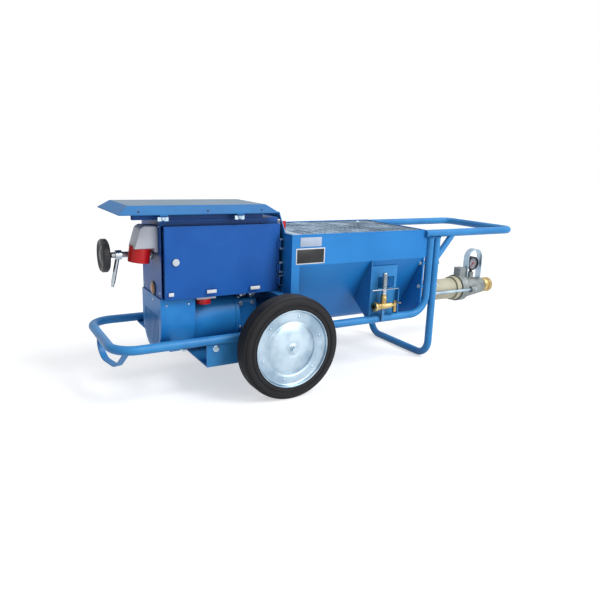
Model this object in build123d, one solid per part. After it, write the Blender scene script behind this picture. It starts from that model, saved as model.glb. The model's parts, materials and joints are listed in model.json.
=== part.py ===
from build123d import *
import os
from math import atan2, cos, pi, radians, sin, sqrt

# Wheeled mortar pump built around a progressive cavity pump.  Millimetres, +Z up.
# While it is built, X = 0 is the wheel axle, +X runs to the pump's outlet, Y = 0 is the
# centre plane and Z = 0 the ground.  At the end everything moves along X so that the
# origin is at the bottom centre of the whole machine.

# ---- driving dimensions -------------------------------------------------------------
FIT = 0.05                  # radial clearance of a shaft in its bore
GAP = 0.5                   # clearance between pieces that move past each other

TUBE_R = 16.85              # frame tube, 33.7 mm outside
TUBE_WALL = 2.6
TUBE_Y = 217.0              # centre of the side tubes
REAR_X = -616.8             # centre of the rear cross tube
POST_GAP = 24.6             # from the pump's end plate to the centre of the front posts
LEG_GAP = 38.0              # from the front posts to the posts of the front leg
HANDLE_X = 1284.0           # centre of the handle's cross tube
HANDLE_Z = 588.0
FRAME_BEND = 85.0
LEG_BEND = 70.0
HANDLE_BEND = 45.0
BRACE_R = 14.0
BRACE_TILT = 40.0
BRACE_Z = 470.0             # where the brace leaves the leg
TAB_Z = (310.0, 450.0)      # weld tabs between post and leg
LUG_Z = (350.0, 455.0)      # lugs between end plate and post
LUG_R = 8.0
FOOT_Z = 143.0              # lowest point of the bent strap under the rear loop
FOOT_Y = 15.0               # where the strap starts on the rear tube
FOOT_RUN = 45.0             # how far its other end is along the side tube
FOOT_BEND = 60.0
FOOT_W = 24.0
STRAP_T = 5.0

WHEEL_D = 400.0
TYRE_W = 79.0
RIM_R = 151.0
RIM_WALL = 3.0
DISC_T = 3.0
DOME_R = 97.0
WHEEL_Y = 325.0             # centre plane of each wheel
AXLE_R = 10.0
BUSH_WALL = 3.0
HUB_R = 17.0
HUB_HALF = 39.0             # half the hub's length
WASHER_R = 16.0
WASHER_T = 3.0
COTTER_R = 2.0

CRADLE_X0 = -285.0          # tray that carries the axle and the gear motor
CRADLE_X1 = 80.0
CRADLE_Z = 125.0
PLATE = 5.0

DRIVE_Z = 266.0             # common axis of motor, auger and pump
HOUSING_X0 = -305.0         # motor housing
GEARBOX_X0 = -100.0
GEARBOX_X1 = -15.0
MOTOR_R = 104.0
MOTOR_WALL = 6.0
WINDING_R = 57.0            # bore of the stator pack
ROTOR_GAP = 1.0
SHAFT_R = 14.0
SHROUD_X = -425.0           # left face of the fan shroud
SHROUD_HALF = 121.5
SHROUD_LIFT = 25.0          # from the tray to the underside of the shroud
STAY_W = 40.0               # flat stays from the side tubes to the shroud
BRIDGE_X = 15.0             # cross bar under the cabinet's right end
BRIDGE_W = 30.0
FAN_R = 88.0
SHEET = 2.5

GEAR_MODULE = 2.5
TEETH = {"motor": 15, "lay wheel": 45, "lay pinion": 18, "output": 42}
GEAR_W = 20.0
GEARBOX_WALL = 6.0
GEARBOX_HALF_H = 72.0

AUGER_SHAFT_R = 15.0
AUGER_R = 60.0
AUGER_PITCH = 120.0
HOPPER_X0 = 63.6
HOPPER_X1 = 734.4
HOPPER_HALF = 218.0
HOPPER_TOP = 605.0
BAND_Z = 483.0              # lower edge of the upright band
TROUGH_R = 75.0
HOPPER_SHEET = 3.0
GRILLE_DROP = 3.0
GRILLE_GAP = 5.0
COVER_L = 44.0              # fixed cover at the hopper's drive end
BAR = 8.0
EDGE_W = 36.0               # bent edge of the plate at the hopper's drive end
SPLASH_HALF = 160.0         # splash guard that stands on that plate
SPLASH_TOP_HALF = 105.0
SPLASH_H = 79.0
GUSSET_X = (446.0, 600.0)   # plates between the trough and the side tubes
GUSSET_T = 4.0
GUSSET_LOW_Z = 300.0
GUSSET_SHORT_Z = 350.0
VALVE_PANEL_Y = 206.0
END_PLATE_T = 8.0

PUMP_FLANGE_R = 85.0
PUMP_FLANGE_T = 24.0
INLET_R = 46.0
STATOR_R = 52.5
STATOR_WALL = 4.0
STATOR_X1 = 1160.0
COLLAR_L = 30.0             # wider collar at the stator's outlet end
ROTOR_R = 20.0
ROTOR_HEAD_R = 13.0
ECCENTRICITY = 6.0
ROTOR_TURNS = 3
SLEEVE_R = 26.0
SLEEVE_L = 20.0
OUTLET_FLANGE_R = 68.0
OUTLET_FLANGE_T = 40.0
OUTLET_BODY_R = 62.0
EAR_R = 16.0                # ears that the tie rods pull on
EAR_T = 22.0
OUTLET_X = 1343.0           # end of the outlet casting
OUTLET_R = 40.0
OUTLET_BORE = 22.0
COUPLING_L = 60.0
COUPLING_R = 38.0
TIE_Y = 68.0
TIE_R = 7.0
TIE_X1 = 1248.0
TIE_NUT_T = 14.0
GAUGE_X = 1268.0
GAUGE_Z = 389.0
GAUGE_R = 35.0
GAUGE_T = 32.0
GUARD_R = 45.0
GUARD_SHIFT = 9.0           # the guard's arch stands this far beyond the gauge
GUARD_RISE = 26.0
GUARD_T = 5.0
GUARD_W = 34.0

CAB_X0 = -420.0
CAB_X1 = 50.0
CAB_HALF = 121.5
CAB_Z0 = 374.0
CAB_Z1 = 665.0
DOOR_T = 20.0
DOOR_TOP_GAP = 23.0
HINGE_R = 5.0
HINGE_Z = (417.0, 470.0, 563.0)
HINGE_HALF = 14.0
LOCK_INSET = 40.0
LOCK_Z = 513.0
LOCK_R = 13.0
KNOB_R = 18.0
SWITCH_HALF_W = 26.0        # base of the main switch
SWITCH_HALF_H = 22.0
SWITCH_Y = -85.0            # centre of the main switch on the cabinet's end wall
SOCKET_X = -255.0
SOCKET_R = 26.0
PLUG_X = (-88.0, -46.0)     # two round connectors beside the service socket
INLET_BOX_Z = (559.0, 641.0)
INLET_BOX_L = 92.0
INLET_Y = -50.0
INLET_TILT = 8.0
COLLAR_R = 39.0
LAMP_Y = -20.0
LAMP_Z = 398.0

ROOF_X0 = -573.0
ROOF_X1 = 28.0
ROOF_HALF = 171.0
ROOF_RIM_Z = 686.0
ROOF_RISE = 30.5
ROOF_INSET = 38.0
ROOF_T = 3.0
STUD_X = (-420.0, -130.0)
RAIL_X0 = -517.0

HANDWHEEL_X = -592.0
HANDWHEEL_Z = 528.0
HANDWHEEL_R = 61.0
SPINDLE_R = 7.0
CLAMP_X = -542.0
LEVER_L = 105.0
LEVER_R = 8.0
LEVER_TILT = 12.0

WATER_Y = -240.0            # axis of the water fitting beside the frame tube
WATER_Z = 288.0
WATER_X = 508.0
WATER_R = 13.0
WATER_BORE = 9.0
VALVE_BAR_Z = 363.0
VALVE_BAR_REACH = 74.0      # long arm of the valve bar
VALVE_BAR_BACK = 66.0       # short arm
VALVE_WINDOW_H = 50.0       # opening in the panel that the valve bar turns through

# ---- values that follow -------------------------------------------------------------
AXLE_Z = WHEEL_D / 2
FRAME_Z = AXLE_Z + AXLE_R + TUBE_R
POST_TOP = HANDLE_Z - TUBE_R
AXLE_END = WHEEL_Y + HUB_HALF + WASHER_T + 2 * COTTER_R + 4
STACK_R = MOTOR_R - MOTOR_WALL
SHROUD_Z = CRADLE_Z + PLATE + SHROUD_LIFT + SHROUD_HALF
LAY_Y = GEAR_MODULE * (TEETH["motor"] + TEETH["lay wheel"]) / 2
GEAR1_X = GEARBOX_X0 + GEARBOX_WALL + 6
GEAR2_X = GEARBOX_X1 - GEARBOX_WALL - 6 - GEAR_W
FLANGE_X = HOPPER_X1 + END_PLATE_T
POST_X = FLANGE_X + POST_GAP
LEG_X = POST_X + LEG_GAP
TIE_NUT_R = 1.7 * TIE_R
TIE_NUT_X = TIE_X1 - TIE_NUT_T - 3
NECK_R = TIE_Y - TIE_NUT_R - 1
GUARD_X = GAUGE_X + GUARD_SHIFT
STATOR_X0 = FLANGE_X + PUMP_FLANGE_T
AUGER_X0 = HOPPER_X0 + HOPPER_SHEET + 25
AUGER_X1 = HOPPER_X1 - 45
SLEEVE_X = AUGER_X1 + 17
COUPLING_X1 = OUTLET_X + COUPLING_L
CAB_FRONT = -CAB_HALF
HINGE_Y = CAB_FRONT - DOOR_T - HINGE_R
HINGE_X = CAB_X1
RAIL_Y = CAB_HALF - 12
ROOF_TOP_Z = ROOF_RIM_Z + ROOF_RISE
SWITCH_Z = HOPPER_TOP + SWITCH_HALF_H + 2


# ---- small builders -----------------------------------------------------------------
def block(x0, x1, y0, y1, z0, z1):
    return Pos((x0 + x1) / 2, (y0 + y1) / 2, (z0 + z1) / 2) * Box(x1 - x0, y1 - y0, z1 - z0)


def rod_x(x0, x1, y, z, r):
    return Pos((x0 + x1) / 2, y, z) * Rot(0, 90, 0) * Cylinder(r, x1 - x0)


def rod_y(y0, y1, x, z, r):
    return Pos(x, (y0 + y1) / 2, z) * Rot(90, 0, 0) * Cylinder(r, y1 - y0)


def rod_z(z0, z1, x, y, r):
    return Pos(x, y, (z0 + z1) / 2) * Cylinder(r, z1 - z0)


def ring_x(x0, x1, y, z, outer, inner):
    return rod_x(x0, x1, y, z, outer) - rod_x(x0 - 1, x1 + 1, y, z, inner)


def ring_y(y0, y1, x, z, outer, inner):
    return rod_y(y0, y1, x, z, outer) - rod_y(y0 - 1, y1 + 1, x, z, inner)


def turned_x(points, z=DRIVE_Z, y=0.0):
    """Solid of revolution about the X axis through (y, z); points are (x, radius)."""
    plane = Plane(origin=(0, y, z), x_dir=(1, 0, 0), z_dir=(0, -1, 0))
    face = plane * make_face(Polyline(*points, close=True))
    return revolve(face, axis=Axis((0, y, z), (1, 0, 0)))


def extruded_x(face, x0, x1):
    """Extrude a sketch drawn in (Y, Z) from x0 to x1."""
    return extrude(Plane(origin=(x0, 0, 0), x_dir=(0, 1, 0), z_dir=(1, 0, 0)) * face, x1 - x0)


def extruded_y(face, y0, y1):
    """Extrude a sketch drawn in (X, Z) from y0 to y1."""
    return extrude(Plane(origin=(0, y1, 0), x_dir=(1, 0, 0), z_dir=(0, -1, 0)) * face, y1 - y0)


def polygon(*points):
    return make_face(Polyline(*points, close=True))


def bent_bar(points, bend, sketch):
    path = FilletPolyline(*points, radius=bend)
    return sweep(Plane(origin=path @ 0, z_dir=path % 0) * sketch, path=path)


def bent_tube(points, bend):
    return bent_bar(points, bend, Circle(TUBE_R) - Circle(TUBE_R - TUBE_WALL))


def group(*solids):
    return Compound(children=[s for item in solids for s in item.solids()])


def both_sides(solid):
    return group(solid, mirror(solid, about=Plane.XZ))


def twisted_x(sketch, x0, x1, turns, y=0.0):
    """Extrude a sketch along +X while it turns about an axis parallel to X."""
    solid = Solid.extrude_linear_with_rotation(sketch.face(), (0, 0, 0), (0, 0, x1 - x0), 360 * turns)
    return Plane(origin=(x0, y, DRIVE_Z), x_dir=(0, 1, 0), z_dir=(1, 0, 0)) * solid


def gear_x(teeth, x0, width, y, z, turn, bore):
    """Spur gear about an X axis; turn is the angle of its first tooth from +Y."""
    pitch_r = GEAR_MODULE * teeth / 2
    tip_r = pitch_r + 0.8 * GEAR_MODULE
    root_r = pitch_r - 1.1 * GEAR_MODULE
    half_root = 0.30 * 2 * pi / teeth
    half_tip = 0.11 * 2 * pi / teeth
    points = []
    for k in range(teeth):
        centre = radians(turn) + 2 * pi * k / teeth
        for r, a in ((root_r, -half_root), (tip_r, -half_tip), (tip_r, half_tip), (root_r, half_root)):
            points.append((r * cos(centre + a), r * sin(centre + a)))
    blank = Pos(y, z) * (polygon(*points) - Circle(bore))
    return extruded_x(blank, x0, x0 + width)


parts = {}


# ---- frame --------------------------------------------------------------------------
def loop_points():
    side = [(POST_X, -TUBE_Y, POST_TOP), (POST_X, -TUBE_Y, FRAME_Z), (REAR_X, -TUBE_Y, FRAME_Z)]
    return side + [(x, -y, z) for x, y, z in reversed(side)]


def filled_loop():
    """The frame loop without its bore, to cut what is welded against it."""
    return bent_bar(loop_points(), FRAME_BEND, Circle(TUBE_R))


def frame():
    parts["frame_loop"] = bent_tube(loop_points(), FRAME_BEND)
    leg = [(LEG_X, -TUBE_Y, POST_TOP), (LEG_X, -TUBE_Y, TUBE_R)]
    parts["front_leg"] = bent_tube(leg + [(x, -y, z) for x, y, z in reversed(leg)], LEG_BEND)
    grip = [(HOPPER_X1, -TUBE_Y, HANDLE_Z), (HANDLE_X, -TUBE_Y, HANDLE_Z)]
    handle = bent_tube(grip + [(x, -y, z) for x, y, z in reversed(grip)], HANDLE_BEND)
    for y in (-TUBE_Y, TUBE_Y):
        handle += rod_x(HOPPER_X1, HOPPER_X1 + TUBE_WALL, y, HANDLE_Z, TUBE_R)
    parts["handle_loop"] = handle

    brace = Pos(LEG_X, -TUBE_Y, BRACE_Z) * Rot(0, BRACE_TILT, 0) * Cylinder(
        BRACE_R, 1.6 * (HANDLE_Z - BRACE_Z), align=(Align.CENTER, Align.CENTER, Align.MIN))
    brace -= rod_z(0, HANDLE_Z, LEG_X, -TUBE_Y, TUBE_R)
    brace -= rod_x(HOPPER_X1, HANDLE_X, -TUBE_Y, HANDLE_Z, TUBE_R)
    brace -= block(LEG_X - 50, HANDLE_X, -TUBE_Y - 50, -TUBE_Y + 50, HANDLE_Z, HANDLE_Z + 200)
    brace = brace.solids().sort_by(Axis.X)[-1]
    tabs = [block(POST_X, LEG_X, -TUBE_Y - 2, -TUBE_Y + 2, z, z + 30) for z in TAB_Z]
    lugs = [rod_x(FLANGE_X, POST_X, LUG_R - TUBE_Y, z, LUG_R) for z in LUG_Z]
    welded = []
    for piece in tabs + lugs:
        piece -= rod_z(0, HANDLE_Z, POST_X, -TUBE_Y, TUBE_R)
        piece -= rod_z(0, HANDLE_Z, LEG_X, -TUBE_Y, TUBE_R)
        welded.append(piece)
    parts["welded_braces"] = group(*[both_sides(p) for p in [brace] + welded])

    start = Vector(REAR_X, FOOT_Y, 0)
    run = Vector(REAR_X + FOOT_RUN, -TUBE_Y, 0) - start
    low = FOOT_Z + STRAP_T / 2
    bend = FilletPolyline((0, FRAME_Z), (0, low), (0.62 * run.length, low), (run.length, FRAME_Z),
                          radius=FOOT_BEND)
    side_view = Plane(origin=start, x_dir=run, z_dir=run.cross(Vector(0, 0, 1)))
    strap = extrude(side_view * trace(bend, STRAP_T), FOOT_W / 2, both=True)
    strap = (strap - filled_loop()).solids().sort_by(SortBy.VOLUME)[-1]
    parts["rear_foot"] = strap

    wide = TUBE_Y + PLATE / 2
    floor = block(CRADLE_X0, CRADLE_X1, -wide, wide, CRADLE_Z, CRADLE_Z + PLATE)
    cheek = block(CRADLE_X0, CRADLE_X1, -wide, PLATE - wide, CRADLE_Z + PLATE, FRAME_Z - TUBE_R)
    notch = rod_y(-wide - PLATE, 2 * PLATE - wide, 0, AXLE_Z, AXLE_R)
    notch += block(-AXLE_R, AXLE_R, -wide - PLATE, 2 * PLATE - wide, AXLE_Z, AXLE_Z + AXLE_R + 1)
    cheek -= notch
    parts["axle_cradle"] = floor + cheek + mirror(cheek, about=Plane.XZ)

    flange_z = FRAME_Z - TUBE_R
    stay_x = SHROUD_X + GAP
    stays = block(stay_x, stay_x + STAY_W, -TUBE_Y, TUBE_Y, flange_z - PLATE, flange_z)
    stays -= extruded_x(shroud_face(0), SHROUD_X - 1, stay_x + STAY_W + 1)
    bridge_z = CAB_Z0 - PLATE
    bridge_x1 = BRIDGE_X + BRIDGE_W
    bridge = block(BRIDGE_X, bridge_x1, -wide, wide, bridge_z, CAB_Z0)
    for y in (-TUBE_Y, TUBE_Y):
        bridge += block(BRIDGE_X, bridge_x1, y - PLATE / 2, y + PLATE / 2, FRAME_Z, bridge_z)
    for y in (-TUBE_Y, TUBE_Y):
        bridge -= rod_x(BRIDGE_X - 1, bridge_x1 + 1, y, FRAME_Z, TUBE_R)
    parts["support_bars"] = group(stays, bridge)


# ---- wheels and axle ----------------------------------------------------------------
def wheel_profile(points):
    """Revolve (distance from the wheel's centre plane, radius) about the axle, outboard = -Y."""
    plane = Plane(origin=(0, -WHEEL_Y, AXLE_Z), x_dir=(0, -1, 0), z_dir=(-1, 0, 0))
    face = plane * make_face(Polyline(*points, close=True))
    return revolve(face, axis=Axis((0, 0, AXLE_Z), (0, 1, 0)))


def wheels():
    half = TYRE_W / 2
    crown = WHEEL_D / 2
    tyre = wheel_profile([(-half + 6, RIM_R), (half - 6, RIM_R), (half - 2, RIM_R + 8), (half, crown - 22),
                          (half - 5, crown - 9), (half - 14, crown - 2), (half - 24, crown),
                          (24 - half, crown), (14 - half, crown - 2), (5 - half, crown - 9),
                          (-half, crown - 22), (2 - half, RIM_R + 8)])
    inner = RIM_R - RIM_WALL
    barrel = wheel_profile([(-half + 2, inner), (half - 2, inner), (half - 2, RIM_R), (-half + 2, RIM_R)])
    face_y = half - 14
    hub_y = HUB_HALF - 6
    dome = wheel_profile([(face_y, inner), (face_y, DOME_R), (face_y + 7, 0.75 * DOME_R),
                          (hub_y - 4, 0.5 * DOME_R), (hub_y, HUB_R), (hub_y - DISC_T, HUB_R),
                          (hub_y - 4 - DISC_T, 0.48 * DOME_R), (face_y + 7 - DISC_T, 0.72 * DOME_R),
                          (face_y - DISC_T, DOME_R - DISC_T), (face_y - DISC_T, inner)])
    bush_r = AXLE_R + BUSH_WALL
    hub = wheel_profile([(-HUB_HALF, bush_r), (HUB_HALF, bush_r), (HUB_HALF, HUB_R), (-HUB_HALF, HUB_R)])
    disc = barrel + dome + hub
    bore = AXLE_R + FIT
    bush = wheel_profile([(-HUB_HALF, bore), (HUB_HALF, bore), (HUB_HALF, bush_r), (-HUB_HALF, bush_r)])
    for name, solid in (("tyre", tyre), ("wheel_disc", disc), ("wheel_bush", bush)):
        parts["right_" + name] = solid
        parts["left_" + name] = mirror(solid, about=Plane.XZ)

    parts["axle"] = rod_y(-AXLE_END, AXLE_END, 0, AXLE_Z, AXLE_R)
    washer_y = WHEEL_Y + HUB_HALF + GAP
    cotter_y = washer_y + WASHER_T + COTTER_R
    outer = ring_y(-washer_y - WASHER_T, -washer_y, 0, AXLE_Z, WASHER_R, AXLE_R)
    inner_y = WHEEL_Y - HUB_HALF - GAP
    stop = ring_y(-inner_y, -inner_y + WASHER_T, 0, AXLE_Z, WASHER_R, AXLE_R)
    pin = rod_z(AXLE_Z - AXLE_R - 6, AXLE_Z + AXLE_R + 6, 0, -cotter_y, COTTER_R)
    parts["axle"] -= pin
    parts["axle"] -= mirror(pin, about=Plane.XZ)
    parts["axle_retainers"] = group(*[both_sides(p) for p in (outer, stop, pin)])


# ---- gear motor ---------------------------------------------------------------------
def shroud_face(inset):
    """Fan shroud section in (Y, Z): round below, square above, up to the cabinet's floor."""
    r = SHROUD_HALF - inset
    top = CAB_Z0 - inset
    box = polygon((-r, SHROUD_Z), (r, SHROUD_Z), (r, top), (-r, top))
    above = Pos(0, top + r) * Rectangle(4 * r, 2 * r)
    return box + Pos(0, SHROUD_Z) * Circle(r) - above


def motor():
    shield_t = 14.0
    body0 = HOUSING_X0 + shield_t
    body1 = GEARBOX_X0 - shield_t
    parts["motor_housing"] = ring_x(body0, body1, 0, DRIVE_Z, MOTOR_R, STACK_R)
    bearing_r = 26.0
    rear = ring_x(HOUSING_X0, body0, 0, DRIVE_Z, MOTOR_R, bearing_r)
    front = ring_x(body1, GEARBOX_X0, 0, DRIVE_Z, MOTOR_R, bearing_r)
    seats = [ring_x(x, x + shield_t, 0, DRIVE_Z, bearing_r, SHAFT_R + FIT) for x in (HOUSING_X0, body1)]
    parts["motor_end_shields"] = group(rear, front, *seats)
    pack0 = body0 + 30
    pack1 = body1 - 22
    parts["motor_windings"] = ring_x(pack0, pack1, 0, DRIVE_Z, STACK_R, WINDING_R)
    fan_x = HOUSING_X0 - 45
    shaft = rod_x(fan_x - 12, GEAR1_X + GEAR_W + 4, 0, DRIVE_Z, SHAFT_R - 4)
    shaft += rod_x(HOUSING_X0 - 6, GEARBOX_X0 + 4, 0, DRIVE_Z, SHAFT_R)
    core = ring_x(pack0, pack1, 0, DRIVE_Z, WINDING_R - ROTOR_GAP, SHAFT_R)
    pinion = gear_x(TEETH["motor"], GEAR1_X, GEAR_W, 0, DRIVE_Z, 0, SHAFT_R - 4)
    parts["motor_rotor"] = group(shaft, core, pinion)
    fan = ring_x(fan_x - 3, fan_x, 0, DRIVE_Z, FAN_R, SHAFT_R - 4)
    fan += ring_x(fan_x - 12, fan_x + 20, 0, DRIVE_Z, 22, SHAFT_R - 4)
    for k in range(9):
        blade = block(fan_x - 1, fan_x + 24, -2, 2, DRIVE_Z + 20, DRIVE_Z + FAN_R - 1)
        fan += blade.rotate(Axis((0, 0, DRIVE_Z), (1, 0, 0)), 40 * k)
    parts["cooling_fan"] = fan

    shroud_x1 = HOUSING_X0 + 12
    shroud = extruded_x(shroud_face(0), SHROUD_X, shroud_x1)
    shroud -= extruded_x(shroud_face(SHEET), SHROUD_X + SHEET, shroud_x1 + 1)
    for k in range(-5, 6):
        y = 17.0 * k
        reach = 0.8 * sqrt(SHROUD_HALF ** 2 - y ** 2)
        shroud -= block(SHROUD_X - 1, SHROUD_X + SHEET + 1, y - 3, y + 3, SHROUD_Z - reach, SHROUD_Z + 30)
    end_wall = extruded_x(shroud_face(SHEET), shroud_x1 - SHEET, shroud_x1)
    end_wall -= rod_x(HOUSING_X0, shroud_x1 + 1, 0, DRIVE_Z, MOTOR_R)
    parts["fan_shroud"] = shroud + end_wall

    gear_top = DRIVE_Z + GEARBOX_HALF_H
    gear_low = DRIVE_Z - GEARBOX_HALF_H
    side0 = -GEARBOX_HALF_H
    side1 = LAY_Y + GEARBOX_HALF_H
    box = block(GEARBOX_X0, GEARBOX_X1, side0, side1, gear_low, gear_top)
    box = fillet(box.edges().filter_by(Axis.X), 18)
    box -= block(GEARBOX_X0 + GEARBOX_WALL, GEARBOX_X1 - GEARBOX_WALL, side0 + GEARBOX_WALL,
                 side1 - GEARBOX_WALL, gear_low + GEARBOX_WALL, gear_top - GEARBOX_WALL)
    lantern = rod_x(GEARBOX_X1, HOPPER_X0, 0, DRIVE_Z, 50) - rod_x(GEARBOX_X1, HOPPER_X0, 0, DRIVE_Z, 42)
    box += lantern
    box -= rod_x(GEARBOX_X0 - 1, GEARBOX_X0 + GEARBOX_WALL + 1, 0, DRIVE_Z, SHAFT_R + GAP)
    box -= rod_x(GEARBOX_X1 - GEARBOX_WALL - 1, GEARBOX_X1 + 1, 0, DRIVE_Z, AUGER_SHAFT_R + FIT)
    for x in (GEARBOX_X0 - 1, GEARBOX_X1 - GEARBOX_WALL - 1):
        box -= rod_x(x, x + GEARBOX_WALL + 2, LAY_Y, DRIVE_Z, 8 + FIT)
    for y0, y1 in ((side0 + 8, side0 + 28), (side1 - 28, side1 - 8)):
        box += block(GEARBOX_X0 + 10, GEARBOX_X1 - 10, y0, y1, CRADLE_Z + PLATE, gear_low)
    parts["gearbox_housing"] = box

    first_tooth = 180 + 180 / TEETH["lay wheel"]
    lay = gear_x(TEETH["lay wheel"], GEAR1_X, GEAR_W, LAY_Y, DRIVE_Z, first_tooth, 8)
    lay_pinion = gear_x(TEETH["lay pinion"], GEAR2_X, GEAR_W, LAY_Y, DRIVE_Z, 180, 8)
    lay_shaft = rod_x(GEARBOX_X0 + 1, GEARBOX_X1 - 1, LAY_Y, DRIVE_Z, 8)
    parts["layshaft"] = group(lay, lay_pinion, lay_shaft)
    out_turn = 180 / TEETH["output"]
    parts["output_gear"] = gear_x(TEETH["output"], GEAR2_X, GEAR_W, 0, DRIVE_Z, out_turn, AUGER_SHAFT_R)


# ---- auger and hopper ---------------------------------------------------------------
def trough_face(inset, drop=0.0):
    """Hopper section in (Y, Z): upright band, sloping sides tangent to a round bottom."""
    half = HOPPER_HALF - inset
    r = TROUGH_R - inset
    reach = sqrt(half ** 2 + (BAND_Z - DRIVE_Z) ** 2)
    lean = atan2(BAND_Z - DRIVE_Z, half) - atan2(sqrt(reach ** 2 - r ** 2), r)
    touch_y = r * cos(lean)
    touch_z = DRIVE_Z + r * sin(lean)
    sides = polygon((-half, HOPPER_TOP - drop), (-half, BAND_Z), (-touch_y, touch_z),
                    (touch_y, touch_z), (half, BAND_Z), (half, HOPPER_TOP - drop))
    return sides + Pos(0, DRIVE_Z) * Circle(r)


def slope_rate():
    """How much wider the hopper's sloping side gets per millimetre of height."""
    reach = sqrt(HOPPER_HALF ** 2 + (BAND_Z - DRIVE_Z) ** 2)
    lean = atan2(BAND_Z - DRIVE_Z, HOPPER_HALF) - atan2(sqrt(reach ** 2 - TROUGH_R ** 2), TROUGH_R)
    return (HOPPER_HALF - TROUGH_R * cos(lean)) / (BAND_Z - DRIVE_Z - TROUGH_R * sin(lean))


def slope_y(z):
    """Half width of the hopper's outside at height z, on the sloping side."""
    return HOPPER_HALF - slope_rate() * (BAND_Z - z)


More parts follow.
